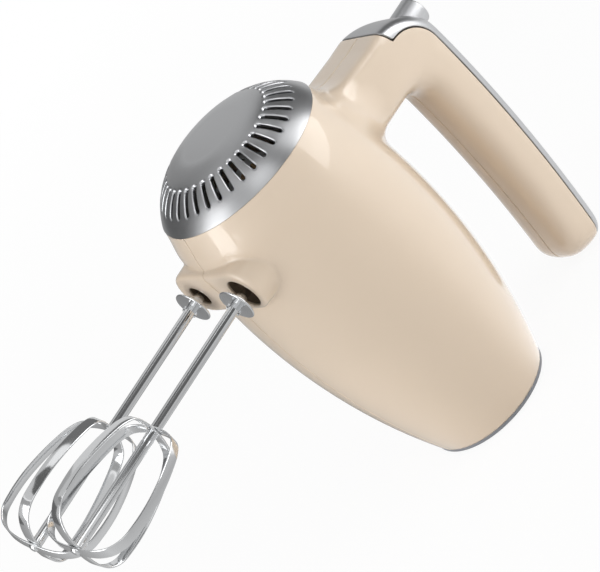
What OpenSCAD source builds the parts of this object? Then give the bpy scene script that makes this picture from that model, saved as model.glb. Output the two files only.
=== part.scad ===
/* [Motor housing] */
// Radius of the housing at its widest
body_r = 56.2; // [54:0.2:62]
// Height of the widest section above the surface
body_mid_z = 118; // [110:1:126]
// Radius of the long arc that makes the housing's side
body_arc_r = 328; // [300:2:380]
// Height of the vent cap's rim
rim_z = 187.3; // [182:0.1:190]
// Thickness of the moulded walls
wall = 2.4; // [1.8:0.1:3]

/* [Vent cap] */
// Radius of the cap's shoulder arc
cap_arc_r = 37.8; // [37:0.1:39]
// Height of the cap's crown above its rim
cap_h = 18.7; // [18:0.1:19.4]
// Thickness of the cap
cap_wall = 2; // [1.5:0.1:2.4]
// Number of cooling slots
slot_count = 36; // [24:1:40]
// Width of one cooling slot
slot_w = 2.2; // [1.6:0.1:2.8]
// Length of the slots, measured towards the axis
slot_len = 11.6; // [10:0.1:12.5]
// How far the slots' outer ends lie in from the cap's edge
slot_edge = 5.6; // [5:0.1:7]

/* [Heel] */
// Radius of the heel pad
heel_r = 35.2; // [33:0.1:35.6]
// Thickness of the heel pad
heel_h = 3; // [2.5:0.1:4]

/* [Column and handle] */
// Half width of the column across the housing
column_half_w = 19.5; // [17:0.1:21]
// Half width of the grip
grip_half_w = 17.5; // [16:0.1:19]
// Height of the column's top face where it leaves the housing
column_top_z = 171; // [169:0.1:173]
// Height of the column's underside
column_under_z = 134.7; // [132:0.1:138]
// How far the outer corner reaches down from the column's top
corner_rise = 26.8; // [25:0.1:28]
// How far the outer corner reaches out towards the grip's back
corner_reach = 32.8; // [31:0.1:34]
// Radius of the finger gap's corner
corner_in_r = 7; // [5:0.1:9]
// Distance of the outer corner's centre from the housing's widest radius
corner_out = 33.8; // [32:0.1:36]
// Radius of the long arc along the back of the grip
back_arc_r = 757; // [700:1:900]
// Distance of the grip's inner face from the housing's widest radius
finger_gap = 35.3; // [33:0.1:37]
// Radius of the long arc along the grip's inner face
inner_arc_r = 700; // [650:1:800]
// Height of the grip's rounded end above the surface
grip_end_z = 1.6; // [1:0.1:4]

/* [Handle trim] */
// How far the trim's edge lies in from the grip's back
trim_depth = 7.8; // [6.5:0.1:9]
// Radius of the trim's edge round the outer corner
trim_arc_r = 20; // [18:0.1:21]
// Thickness of the trim
trim_wall = 2; // [1.6:0.1:2.6]
// Width of the gap along the trim's edge
trim_gap = 0.4; // [0.3:0.05:0.6]

/* [Sockets and nose] */
// Distance between the two beater axes
beater_pitch = 40; // [39:0.1:41]
// Height of the beater axes above the surface
beater_z = 154.5; // [152:0.1:157]
// How far the nose's flat face stands out past the housing's widest radius
nose_out = 0.8; // [0.4:0.1:3]
// Radius of the nose's two lobes at that face
nose_r = 13.4; // [12.5:0.1:14]
// Radius of the left socket's mouth
left_mouth_r = 9; // [8.6:0.1:9.4]
// Radius of the right socket's mouth
right_mouth_r = 6.2; // [6:0.1:7]

/* [Beaters] */
// Radius of the beater's tube
tube_r = 2.7; // [2.5:0.05:2.8]
// Length of the beater below the nose's face
beater_len = 148; // [140:1:158]
// Distance of the collar disc from the nose's face
disc_gap = 6.2; // [5:0.1:9]
// Radius of the collar disc
disc_r = 9.6; // [8:0.1:10]
// Largest radius of the blade loops
loop_r = 27.6; // [24:0.1:28.5]
// Length of the blade loops
loop_len = 69; // [62:0.1:74]
// Distance of the blade loops' widest part from their lower end
loop_low = 20; // [16:0.5:26]
// Width of the blade strip
strip_w = 6; // [5:0.1:6.4]
// Thickness of the blade strip
strip_t = 0.9; // [0.7:0.05:1.1]
// Rest angle of the left beater's first blade
left_phase = 14.8; // [0:0.1:45]

/* [Drive] */
// Teeth on each worm wheel
wheel_teeth = 26; // [26:1:26]
// Starts of the worm
worm_starts = 2; // [2:1:2]
// Pitch radius of the worm
worm_pitch_r = 4.2; // [4:0.05:4.4]
// Width of the worm wheels' teeth
wheel_w = 7; // [6:0.1:8]
// Play taken off each side of each tooth
tooth_play = 0.2; // [0.16:0.01:0.24]
// Radius of the motor shaft
shaft_r = 2.5; // [2.3:0.05:2.8]
// Radius of the armature core
core_r = 15; // [14:0.1:15.4]
// Height of the laminated stack
stack_h = 24; // [20:0.5:26]
// Slots in the armature
core_slots = 12; // [8:1:14]
// Blades of the cooling fan
fan_blades = 11; // [8:1:12]

/* [Controls] */
// Radius of the eject button
knob_r = 8.25; // [7.5:0.05:8.6]
// How far the eject button stands out of the handle's back
knob_out = 4.2; // [3:0.1:6]
// Height of the eject button's axis
knob_z = 152; // [150:0.1:153]
// Travel of the eject button
eject_travel = 7; // [5:0.1:7]
// Height of the speed slider's nub with the mixer off
slider_z = 126; // [122:0.1:127]
// Travel of the speed slider
slider_travel = 10; // [8:0.5:10]

/* [Cord inlet] */
// Radius of the cord inlet's bore
inlet_r = 3.3; // [2.8:0.1:3.8]
// Height of the cord inlet
inlet_z = 24; // [22:0.5:28]

/* [Hidden] */

$fn = 64;
eps = 0.01;
fit = 0.05;          // running clearance of a shaft in its bore
seat = 0.2;          // clearance of a piece in its seat
cream = [0.87, 0.82, 0.74];
silver = [0.72, 0.73, 0.75];
steel = [0.78, 0.79, 0.8];
grey = [0.5, 0.52, 0.55];
dark = [0.16, 0.16, 0.17];
copper = [0.72, 0.42, 0.22];
nylon = [0.93, 0.92, 0.88];
bronze = [0.7, 0.55, 0.3];

// Half distance between the beater axes
half_pitch = beater_pitch / 2;
// Distances from the housing axis
nose_x = body_r + nose_out;
tip_x = nose_x + beater_len;
disc_x = nose_x + disc_gap;
corner_x = body_r + corner_out;
grip_in_x = body_r + finger_gap;
// Length of the blocks that cut one piece from another, past every end of the mixer
far = 2 * (tip_x + rim_z);
// The two beaters' blades add up to 45 degrees, so that they pass between each other
right_phase = 45 - left_phase;

// ---------------------------------------------------------------- shapes of the shell

// Radius of the housing at height z
function body_radius(z) = body_r - body_arc_r + sqrt(pow(body_arc_r, 2) - pow(z - body_mid_z, 2));

// The housing's half section, taken in by inset, between two heights
module body_section(inset, low, high) {
    intersection() {
        translate([body_r - body_arc_r, body_mid_z]) circle(r = body_arc_r - inset, $fn = 720);
        translate([0, low]) square([body_r + 10, high - low]);
    }
}

module body_solid(inset = 0, low = heel_h + eps, high = rim_z) {
    rotate_extrude($fn = 144) body_section(inset, low, high);
}

// Section of the column or grip: a superellipse between an inner and an outer point of the side view,
// with one power for its inner half and one for its outer half
function section_points(inner, outer, half_w, powers, count) = [
    for (k = [0 : count - 1])
        let (
            a = 360 * (k + 0.5) / count,
            c = cos(a),
            s = sin(a),
            power = c < 0 ? powers[0] : powers[1],
            u = sign(c) * pow(abs(c), 2 / power),
            v = sign(s) * pow(abs(s), 2 / power),
            mid = (inner + outer) / 2,
            span = (outer - inner) / 2
        )
        [mid[0] + span[0] * u, half_w * v, mid[1] + span[1] * u]
];

// Skin over a list of sections with the same number of points, closed at both ends
module skin(sections) {
    count = len(sections[0]);
    rows = len(sections);
    points = [for (s = sections) for (p = s) p];
    sides = [
        for (r = [0 : rows - 2]) for (k = [0 : count - 1])
            let (
                a = r * count + k,
                b = r * count + (k + 1) % count
            )
            each [[a, b, a + count], [b, b + count, a + count]]
    ];
    first = [[for (k = [count - 1 : -1 : 0]) k]];
    last = [[for (k = [0 : count - 1]) (rows - 1) * count + k]];
    polyhedron(points = points, faces = concat(sides, first, last), convexity = 6);
}

corner_z = column_top_z - 1.2 - corner_rise;
grip_corner = [grip_in_x - corner_in_r, column_under_z - corner_in_r];
back_top = [corner_x + corner_reach, corner_z];
lean = 0.055;                     // the column's top face leans back by this slope
end_depth = 12;                   // length of the grip's rounded end
column_steps = 12;
corner_steps = 8;
corner_power = 2 / 1.78;          // a touch flatter than an ellipse
column_powers = [2.7, 4];
grip_powers = [2.9, 2.9];
grip_steps = 12;
end_steps = 6;
column_from_x = body_r - 22.2;
trim_from_x = body_r + 23.8;
flare = [12, 9, 4.6];              // how much the column's root spreads: sides, top, underside

function flare_at(x, from, over, size, p) = x < from ? size * pow((from - x) / over, p) : 0;
function column_top(x) =
    min(column_top_z - lean * (x - body_r) + flare_at(x, body_r + 6.8, 15, flare[1], 2), rim_z - 4);
function column_under(x) = column_under_z - flare_at(x, body_r + 7.8, 8, flare[2], 2);
function column_width(x) = column_half_w + flare_at(x, body_r + 17.8, 34, flare[0], 2.4);
function back_x(z) = back_top[0] - back_arc_r + sqrt(pow(back_arc_r, 2) - pow(corner_z - z, 2));
function inner_x(z) = grip_in_x - inner_arc_r + sqrt(pow(inner_arc_r, 2) - pow(grip_corner[1] - z, 2));
function ease(t) = t * t * (3 - 2 * t);
function mix(a, b, t) = a + (b - a) * t;

grip_low_z = grip_end_z + end_depth;

// One station of the loft: inner point, outer point, half width, power of the superellipse
function column_station(t) = let (
    x = mix(column_from_x, grip_corner[0], t),
    ox = mix(x, mix(column_from_x, corner_x, t), ease(t))
) [[x, column_under(x)], [ox, column_top(ox)], column_width(x), column_powers];

function corner_station(t) = let (a = 90 * (1 - t)) [
    grip_corner + corner_in_r * [cos(a), sin(a)],
    [corner_x, corner_z] + [corner_reach * pow(cos(a), corner_power), corner_rise * pow(sin(a), corner_power)],
    mix(column_half_w, grip_half_w, ease(t)),
    mix(column_powers, grip_powers, t)
];

function grip_station(t) = let (
    zi = mix(grip_corner[1], grip_low_z + 2, t),
    zo = mix(corner_z, grip_low_z - 2, t)
) [[inner_x(zi), zi], [back_x(zo), zo], grip_half_w, grip_powers];

function end_station(t) = let (
    s = grip_station(1),
    a = 84 * t,
    mid = (s[0] + s[1]) / 2,
    half = (s[1] - s[0]) / 2,
    drop = [-half[1], half[0]] / norm(half) * -end_depth * sin(a),
    k = pow(cos(a), 0.8)
) [mid + drop - half * k, mid + drop + half * k, grip_half_w * k, grip_powers];

stations = concat(
    [for (i = [0 : column_steps - 1]) column_station(i / column_steps)],
    [for (i = [0 : corner_steps - 1]) corner_station(i / corner_steps)],
    [for (i = [0 : grip_steps - 1]) grip_station(i / grip_steps)],
    [for (i = [0 : end_steps]) end_station(i / end_steps)]
);

// Takes a station in by inset on every side
function taken_in(s, inset) = let (d = (s[1] - s[0]) / norm(s[1] - s[0]))
    [s[0] + d * inset, s[1] - d * inset, s[2] - inset, s[3]];

// Column and grip as one loft; every second station and the last few rings are left out of the hollow
module handle_solid() {
    skin([for (s = stations) section_points(s[0], s[1], s[2], s[3], 36)]);
}

module handle_hollow(inset) {
    last = len(stations) - 4;
    skin([for (i = [0 : 2 : last]) let (s = taken_in(stations[i], inset))
        section_points(s[0], s[1], s[2], s[3], 20)]);
}

// Side view of the part of the grip that stays with the housing; the trim covers the rest
trim_arc = [back_top[0] - trim_depth - trim_arc_r, corner_z - 1.9];
trim_front = [[trim_arc[0] - 4.8, column_top_z + 8], [trim_arc[0] - 0.5, trim_arc[1] + trim_arc_r]];

module core_outline(grow = 0) {
    edge_r = back_arc_r - trim_depth + grow;
    back = [for (i = [0 : 24]) let (z = mix(trim_arc[1], -6, i / 24))
        [back_top[0] - back_arc_r + sqrt(pow(edge_r, 2) - pow(corner_z - z, 2)), z]];
    translate(trim_arc) circle(r = trim_arc_r + grow, $fn = 96);
    polygon(concat(
        [[-far, -6], [-far, far], [trim_front[0][0] + grow, far], trim_front[0] + [grow, 0],
         trim_front[1] + [grow, 0], trim_arc],
        back));
}

module core_zone(grow = 0) {
    rotate([90, 0, 0]) linear_extrude(height = far, center = true) core_outline(grow);
}

// ---------------------------------------------------------------- nose

nose_z = beater_z + 1.5;
nose_edge = 1.2;
nose_depth = 22;
nose_flare = 7.6;               // how much wider the nose is at its root

// Half section of a lobe: [distance from its axis, distance from the housing axis]
nose_profile = concat(
    [[0, nose_x]],
    [for (a = [90 : -22.5 : 0]) [nose_r - nose_edge + nose_edge * cos(a), nose_x - nose_edge + nose_edge * sin(a)]],
    [for (t = [0.1 : 0.1 : 1]) [nose_r + nose_flare * pow(t, 1.64), nose_x - nose_edge - nose_depth * t]],
    [[0, nose_x - nose_edge - nose_depth]]
);

module nose_solid() {
    translate([0, 0, nose_z]) rotate([0, -90, 0]) {
        for (s = [-1, 1]) translate([0, s * half_pitch, 0]) rotate_extrude() polygon(nose_profile);
        rotate([90, 0, 0]) linear_extrude(height = beater_pitch, center = true)
            for (s = [0, 1]) mirror([s, 0]) polygon(nose_profile);
    }
}

// ---------------------------------------------------------------- bosses and screws

screw_low = [body_r - 30.2, 30];
screw_high = [body_r - 20.2, 178];
screw_places = [
    [-screw_low[0], screw_low[1]], screw_low, [-screw_high[0], screw_high[1]], screw_high,
    [body_r + 15.8, column_under_z + 6.9], [grip_in_x + 6.5, 24]
];
screw_head_y = 12;
screw_head_r = 3;
screw_head_h = 2.2;
screw_r = 1.5;
screw_len = 20;
boss_r = 4.4;

module along_y(at, r, from, to) {
    translate([at[0], from, at[1]]) rotate([-90, 0, 0]) cylinder(r = r, h = to - from, $fn = 32);
}

module housing_screws() {
    color(steel) for (p = screw_places) {
        along_y(p, screw_head_r, screw_head_y, screw_head_y + screw_head_h);
        along_y(p, screw_r, screw_head_y - screw_len, screw_head_y);
    }
}

// ---------------------------------------------------------------- housing halves

hub_r = [6.5, 4.9];             // outer radii of the left and the right hub
bush_r = [9, 7.6];              // outer radii of the two socket bushes
bush_x = [11 - nose_x, 19 - nose_x];   // both bushes lie between these places along their axes
mouth_r = [left_mouth_r, right_mouth_r];

frame_x = 12;
frame_top_z = beater_z + 24;
frame_low_z = beater_z - 24.5;
frame_y = 35;
shelf_x = 2 * frame_x;
roof_y = frame_x;
frame_cut_r = 14;
frame_t = 3;
spring_x = [body_r + 6.4, body_r + 33.8];

// Everything that stands inside the shell and belongs to it
module inner_ribs() {
    // shelf under the gearbox frame
    translate([0, 0, frame_low_z - seat - wall]) difference() {
        cylinder(r = body_radius(frame_low_z) - 1, h = wall, $fn = 96);
        translate([-20, -rib_half_y, -1]) cube([40, 2 * rib_half_y, wall + 2]);
    }
    // rings above and below the stator
    for (z = [stator_z - seat - wall, stator_z + stack_h + seat]) translate([0, 0, z]) difference() {
        cylinder(r = body_radius(z) - 1, h = wall, $fn = 96);
        translate([-stator_half_x + 2, -rib_half_y, -1]) cube([2 * stator_half_x - 4, 2 * rib_half_y, wall + 2]);
    }
    // wall in the column that guides the eject rod and carries its spring
    translate([spring_x[0] - wall - seat, -column_half_w, column_under_z]) cube([wall, 2 * column_half_w, 35]);
    // ledges in the grip that carry the circuit board
    for (z = [board_z[0] + 4, board_z[1] - 24]) translate([board_x - seat - ledge, -grip_half_w, z])
        cube([ledge, 2 * grip_half_w, wall]);
    for (p = screw_places) along_y(p, boss_r, -body_r, body_r);
}

module socket_boss(side) {
    i = side < 0 ? 0 : 1;
    translate([bush_x[0] - 3, side * half_pitch, beater_z]) rotate([0, 90, 0])
        cylinder(r = bush_r[i] + wall, h = bush_x[1] - bush_x[0] + 3);
}

module socket_bore(side) {
    i = side < 0 ? 0 : 1;
    translate([-nose_x - 1, side * half_pitch, beater_z]) rotate([0, 90, 0])
        cylinder(r = mouth_r[i], h = 20);
    translate([bush_x[0], side * half_pitch, beater_z]) rotate([0, 90, 0])
        cylinder(r = bush_r[i] + fit, h = 12);
}

module housing_half(side) {
    difference() {
        union() {
            difference() {
                union() {
                    body_solid();
                    handle_solid();
                    nose_solid();
                }
                body_solid(wall, heel_h + wall, rim_z - 4);
                translate([0, 0, rim_z - 5]) cylinder(r = body_radius(rim_z) - wall - 2, h = 6, $fn = 96);
                handle_hollow(wall);
            }
            intersection() {
                inner_ribs();
                union() {
                    body_solid(1, heel_h + 1, rim_z - 1);
                    handle_hollow(1);
                }
            }
            socket_boss(side);
        }
        // the trim's place on the back of the handle
        difference() {
            translate([trim_from_x, -far / 2, -far / 2]) cube([far, far, far]);
            core_zone();
        }
        socket_bore(side);
        // eject button and rod
        translate([knob_in_x - eject_travel + 1, 0, knob_z]) rotate([0, 90, 0]) cylinder(r = knob_r + seat, h = 40);
        translate([rod_from_x, 0, knob_z]) rotate([0, 90, 0]) cylinder(r = rod_r + seat, h = knob_in_x - rod_from_x);
        translate([rod_from_x, 0, knob_z]) rotate([0, 90, 0])
            cylinder(r = rod_bay_r, h = spring_x[0] - wall - 1 - rod_from_x);
        // cord gland
        at_inlet() translate([0, 0, gland_from - 4]) cylinder(r = gland_r + seat, h = 20);
        // slot under the speed slider
        translate([back_x(slider_z) - trim_depth - slider_bay, -slider_stem_w / 2 - seat, slider_z - 3])
            cube([trim_depth + slider_bay, slider_stem_w + 2 * seat, slider_travel + 6]);
        // screw holes
        for (p = screw_places) {
            along_y(p, side < 0 ? screw_r : screw_r + 0.3, -10, screw_head_y);
            if (side > 0) along_y(p, screw_head_r + 0.4, screw_head_y - 0.2, body_r + 10);
        }
        // the other half
        translate([-far / 2, side < 0 ? 0 : -far, -far / 2]) cube([far, far, far]);
    }
}

module left_housing() {
    color(cream) housing_half(-1);
}

module right_housing() {
    color(cream) housing_half(1);
}

// ---------------------------------------------------------------- cap, pad, trim, gland

cap_top_z = rim_z + cap_h;
cap_r = body_radius(rim_z) + 0.2;
cap_crown_r = 400;
// The shoulder's arc starts where it still meets the cap's edge
cap_drop = 0.33;
cap_flat_r = cap_r - sqrt(pow(cap_arc_r, 2) - pow(cap_arc_r - cap_h + cap_drop, 2));
slot_out_r = cap_r - slot_edge;
slot_in_r = slot_out_r - slot_len;

// Half section of the dome, taken in by inset
module dome_section(inset) {
    crown_drop = cap_crown_r - sqrt(pow(cap_crown_r, 2) - pow(cap_flat_r, 2));
    intersection() {
        union() {
            translate([cap_flat_r, cap_top_z - crown_drop - cap_arc_r]) circle(r = cap_arc_r - inset, $fn = 360);
            translate([0, cap_top_z - 30]) square([cap_flat_r, 30 - crown_drop - inset - 0.05]);
            intersection() {
                translate([0, cap_top_z - cap_crown_r]) circle(r = cap_crown_r - inset, $fn = 2880);
                translate([0, cap_top_z - 10]) square([cap_flat_r, 20]);
            }
        }
        translate([0, rim_z + 0.1]) square([cap_r - inset, 40]);
    }
}

module cap_slots() {
    for (k = [0 : slot_count - 1]) rotate([0, 0, k * 360 / slot_count]) {
        translate([slot_in_r + slot_w / 2, -slot_w / 2, rim_z + 2])
            cube([slot_out_r - slot_in_r - slot_w, slot_w, cap_h + 4]);
        for (r = [slot_in_r + slot_w / 2, slot_out_r - slot_w / 2])
            translate([r, 0, rim_z + 2]) cylinder(r = slot_w / 2, h = cap_h + 4, $fn = 24);
    }
}

module vent_cap() {
    color(silver) difference() {
        union() {
            difference() {
                rotate_extrude($fn = 144) dome_section(0);
                translate([0, 0, -1]) rotate_extrude($fn = 144) dome_section(cap_wall);
            }
            // collar that plugs into the housing
            translate([0, 0, rim_z - 3]) difference() {
                cylinder(r = body_radius(rim_z) - wall - 2 - fit, h = 6, $fn = 96);
                translate([0, 0, -1]) cylinder(r = body_radius(rim_z) - 2 * wall - 2, h = 8, $fn = 96);
            }
        }
        cap_slots();
    }
}

module heel_pad() {
    edge = 2.2;
    color(grey) rotate_extrude($fn = 128) polygon(concat(
        [[0, 0]],
        [for (a = [-90 : 15 : 0]) [heel_r - edge + edge * cos(a), edge + edge * sin(a)]],
        [[heel_r, heel_h], [0, heel_h]]));
}

module handle_trim() {
    stem_w = slider_stem_w + 2 * seat;
    color(silver) difference() {
        intersection() {
            difference() {
                handle_solid();
                handle_hollow(trim_wall);
            }
            difference() {
                translate([trim_from_x, -far / 2, -far / 2]) cube([far, far, far]);
                core_zone(trim_gap);
            }
        }
        translate([knob_in_x, 0, knob_z]) rotate([0, 90, 0]) cylinder(r = knob_r + seat, h = 40);
        // window for the slider's stem
        translate([back_x(slider_z) - 8, -stem_w / 2, slider_z - slider_stem_h / 2 - seat])
            cube([20, stem_w, slider_travel + slider_stem_h + 2 * seat]);
    }
}

gland_r = 6.2;
gland_flange_r = 8;
gland_flange_t = 3;
gland_len = 9.2;
gland_face = body_radius(inlet_z) + 0.8;
gland_from = gland_face - gland_len;

// The inlet's axis runs out through the right half, clear of the grip
module at_inlet() {
    translate([0, 0, inlet_z]) rotate([-90, 0, 0]) children();
}

module cord_gland() {
    color(dark) at_inlet() translate([0, 0, gland_from]) difference() {
        union() {
            cylinder(r = gland_r, h = gland_len);
            cylinder(r = gland_flange_r, h = gland_flange_t);
        }
        translate([0, 0, -1]) cylinder(r = inlet_r, h = gland_len + 2);
    }
}

// ---------------------------------------------------------------- gearbox frame and bearings

module frame_wall(x) {
    translate([x, -frame_y, frame_low_z]) cube([frame_t, 2 * frame_y, frame_top_z - frame_low_z]);
}

module gearbox_frame() {
    color(silver) difference() {
        union() {
            frame_wall(-frame_x);
            frame_wall(frame_x - frame_t);
            translate([-frame_x, -frame_y, frame_low_z]) cube([2 * frame_x, 2 * frame_y, frame_t]);
            translate([-shelf_x, -frame_y, frame_low_z]) cube([2 * shelf_x, 2 * frame_y, frame_t]);
            translate([-frame_x, -roof_y, frame_top_z - frame_t]) cube([2 * frame_x, 2 * roof_y, frame_t]);
            translate([0, 0, frame_top_z - frame_t - 3]) cylinder(r = bearing_r + 2.8, h = bearing_h);
            translate([0, 0, frame_low_z - 3]) cylinder(r = bearing_r + 3.8, h = bearing_h + 2);
            for (s = [-1, 1]) translate([0, s * stud_y, stator_z + stack_h + seat])
                cylinder(r = stud_r, h = frame_low_z - stator_z - stack_h);
        }
        // lightened corners of the two walls
        for (s = [-1, 1]) translate([0, s * frame_y, frame_top_z]) rotate([0, 90, 0])
            cylinder(r = frame_cut_r, h = far, center = true);
        for (i = [0, 1]) translate([-frame_x - 10, (i == 0 ? -1 : 1) * half_pitch, beater_z]) rotate([0, 90, 0])
            cylinder(r = hub_r[i] + fit, h = 2 * frame_x + 20);
        translate([0, 0, frame_top_z - 10]) cylinder(r = bearing_r + fit, h = 20);
        translate([0, 0, frame_low_z - 10]) cylinder(r = bearing_r + fit, h = 20);
        for (s = [-1, 1]) translate([0, s * stud_y, stator_z]) cylinder(r = screw_r + fit, h = 80, $fn = 32);
    }
}

bearing_r = 5.2;
bearing_h = 6;

module bearing(z) {
    color(bronze) translate([0, 0, z]) difference() {
        cylinder(r = bearing_r, h = bearing_h);
        translate([0, 0, -1]) cylinder(r = shaft_r + fit, h = bearing_h + 2);
    }
}

module front_bearing() {
    bearing(frame_top_z - frame_t - 3);
}

module main_bearing() {
    bearing(frame_low_z - 2);
}

bridge_z = 44;
bridge_t = 4;

module rear_bearing() {
    bearing(bridge_z - 1);
}

module socket_bush(i) {
    translate([bush_x[0], (i == 0 ? -1 : 1) * half_pitch, beater_z]) rotate([0, 90, 0]) difference() {
        cylinder(r = bush_r[i], h = bush_x[1] - bush_x[0]);
        translate([0, 0, -1]) cylinder(r = hub_r[i] + fit, h = 20);
    }
}

module left_socket_bush() {
    color(bronze) socket_bush(0);
}

module right_socket_bush() {
    color(bronze) socket_bush(1);
}

// ---------------------------------------------------------------- motor

stator_z = 82;
stator_half_x = 25;
stator_half_y = 33;
air_gap = 0.6;
stud_y = stator_half_y - 4;
stud_r = 3.6;
rib_half_y = stud_y + stud_r + 0.6;

module stator_core() {
    color(grey) translate([0, 0, stator_z]) difference() {
        linear_extrude(height = stack_h) difference() {
            intersection() {
                square([2 * stator_half_x, 2 * stator_half_y], center = true);
                circle(r = 38, $fn = 96);
            }
            circle(r = core_r + air_gap, $fn = 96);
            // windows for the two coils
            for (sx = [-1, 1], sy = [-1, 1])
                translate([sx * 10.5, sy * 15]) square([9, 8], center = true);
        }
        for (s = [-1, 1]) translate([0, s * stud_y, -1]) cylinder(r = screw_r + fit, h = 40, $fn = 32);
    }
}

// One coil: a bent bundle that passes up one window and down the other, round the pole
module coil(sx) {
    ends = 5;
    lane = 15;
    translate([sx * 10.5, 0, stator_z]) difference() {
        translate([-3, -lane - 3, -ends]) cube([6, 2 * lane + 6, stack_h + 2 * ends]);
        translate([-10, -lane + 3, -0.2]) cube([20, 2 * lane - 6, stack_h + 0.4]);
        translate([-sx * 10.5, 0, -20]) cylinder(r = core_r + air_gap, h = 80, $fn = 96);
    }
}

module field_coils() {
    color(copper) for (sx = [-1, 1]) coil(sx);
}

module motor_bridge() {
    color(nylon) difference() {
        union() {
            translate([-bridge_x, -bridge_y, bridge_z]) cube([2 * bridge_x, 2 * bridge_y, bridge_t]);
            translate([0, 0, bridge_z - 2]) cylinder(r = bearing_r + 3.8, h = bearing_h + 2);
            for (s = [-1, 1]) translate([0, s * stud_y, bridge_z]) cylinder(r = stud_r, h = stator_z - seat - bridge_z);
            for (s = [-1, 1]) translate([s * holder_x, 0, bridge_z])
                linear_extrude(height = brush_z - brush[2] / 2 - holder_wall - seat - bridge_z)
                    square(foot_w, center = true);
        }
        translate([0, 0, bridge_z - 5]) cylinder(r = bearing_r + fit, h = 20);
        for (s = [-1, 1]) translate([0, s * stud_y, bridge_z - 1]) cylinder(r = screw_r + fit, h = 60, $fn = 32);
    }
}

module motor_screws() {
    color(steel) for (s = [-1, 1]) translate([0, s * stud_y, bridge_z - 2.4]) {
        cylinder(r = screw_head_r, h = 2.3, $fn = 32);
        cylinder(r = screw_r, h = frame_low_z - bridge_z, $fn = 32);
    }
}

brush_z = 62;
brush = [14, 6, 5];               // length, width and height of a carbon brush
holder_wall = 1.5;
holder_x = 19;
foot_w = 8;
bridge_x = stator_half_x + 1;
bridge_y = stator_half_y + 1;
commutator_r = 10;
commutator_h = 16;

module brush_holders() {
    color(bronze) for (s = [-1, 1]) translate([s * holder_x, 0, brush_z]) difference() {
        cube([brush[0], brush[1] + 2 * holder_wall, brush[2] + 2 * holder_wall], center = true);
        cube([brush[0] + 2, brush[1] + seat, brush[2] + seat], center = true);
    }
}

module carbon_brushes() {
    color(dark) for (s = [-1, 1]) translate([s * (commutator_r + 0.1 + brush[0] / 2), 0, brush_z])
        cube(brush, center = true);
}

module motor_shaft() {
    color(steel) {
        translate([0, 0, bridge_z - 6]) cylinder(r = shaft_r, h = worm_z[0] - bridge_z + 6);
        translate([0, 0, worm_z[0] - 1]) cylinder(r = neck_r, h = worm_z[1] - worm_z[0] + 2);
        translate([0, 0, worm_z[1]]) cylinder(r = shaft_r, h = frame_top_z + 2 - worm_z[1]);
    }
}

module armature_core() {
    slot = 3.2;
    color(grey) translate([0, 0, stator_z]) linear_extrude(height = stack_h) difference() {
        circle(r = core_r, $fn = 96);
        circle(r = shaft_r + fit);
        for (k = [0 : core_slots - 1]) rotate(k * 360 / core_slots) {
            translate([core_r - 6, 0]) circle(r = slot / 2, $fn = 24);
            translate([core_r - 6, -0.9]) square([8, 1.8]);
        }
    }
}

// The end turns that bulge from each end of the core
module armature_windings() {
    bulge = 8;
    color(copper) for (z = [stator_z - bulge - seat, stator_z + stack_h + seat]) translate([0, 0, z])
        rotate_extrude($fn = 96) translate([shaft_r + fit, 0]) union() {
            square([8, bulge]);
            translate([8, bulge / 2]) circle(r = bulge / 2, $fn = 48);
        }
}

module commutator() {
    bars = core_slots * 2;
    color(copper) translate([0, 0, brush_z - commutator_h / 2]) linear_extrude(height = commutator_h) difference() {
        circle(r = commutator_r, $fn = 96);
        circle(r = shaft_r + fit);
        for (k = [0 : bars - 1]) rotate(k * 360 / bars) translate([commutator_r - 1.4, -0.25]) square([3, 0.5]);
    }
}

fan_z = stator_z + stack_h + 9;
fan_r = stud_y - stud_r - 0.8;

module cooling_fan() {
    color(nylon) translate([0, 0, fan_z]) difference() {
        union() {
            cylinder(r = 7, h = 10);
            cylinder(r = fan_r, h = 1.6, $fn = 96);
            for (k = [0 : fan_blades - 1]) rotate([0, 0, k * 360 / fan_blades])
                translate([6, -0.7, 0]) cube([fan_r - 6.5, 1.4, 9]);
        }
        translate([0, 0, -1]) cylinder(r = shaft_r + fit, h = 20);
    }
}

// ---------------------------------------------------------------- worm and wheels

wheel_pitch_r = half_pitch - worm_pitch_r;
axial_pitch = 2 * PI * wheel_pitch_r / wheel_teeth;
lead = axial_pitch * worm_starts;
lead_angle = atan(lead / (2 * PI * worm_pitch_r));
addendum = 1.1;
dedendum = 1.35;
flank = tan(20);
neck_r = 2;
worm_z = [beater_z - 1.5 * lead, beater_z + 1.5 * lead];

// Axial half thickness of thread or tooth at a distance above its pitch line
function half_thickness(above) = axial_pitch / 4 - tooth_play - above * flank;

// Cross section of the worm: each start is a crest with sloping flanks
function worm_angles(turn) = let (
    crest = half_thickness(addendum) / axial_pitch,
    root = half_thickness(-dedendum) / axial_pitch
) [for (f = [[-crest, 1], [0, 1], [crest, 1], [root, 0], [(root + 0.5) / 2, 0], [0.5, 0],
        [1 - (root + 0.5) / 2, 0], [1 - root, 0]])
    let (
        a = turn + f[0] * 360 / worm_starts,
        r = f[1] == 1 ? worm_pitch_r + addendum : worm_pitch_r - dedendum
    ) r * [cos(a), sin(a)]];

module drive_worm() {
    turns = (worm_z[1] - worm_z[0]) / lead;
    color(steel) translate([0, 0, worm_z[0]]) difference() {
        // the crests face the two wheels at the height of the wheels' axes
        rotate([0, 0, 90 - 360 * turns / 2]) linear_extrude(height = worm_z[1] - worm_z[0], twist = -360 * turns,
            slices = round(turns * 16), segments = 16)
            polygon([for (s = [0 : worm_starts - 1]) each worm_angles(s * 360 / worm_starts)]);
        translate([0, 0, -1]) cylinder(r = neck_r + fit / 2, h = far);
    }
}

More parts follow.
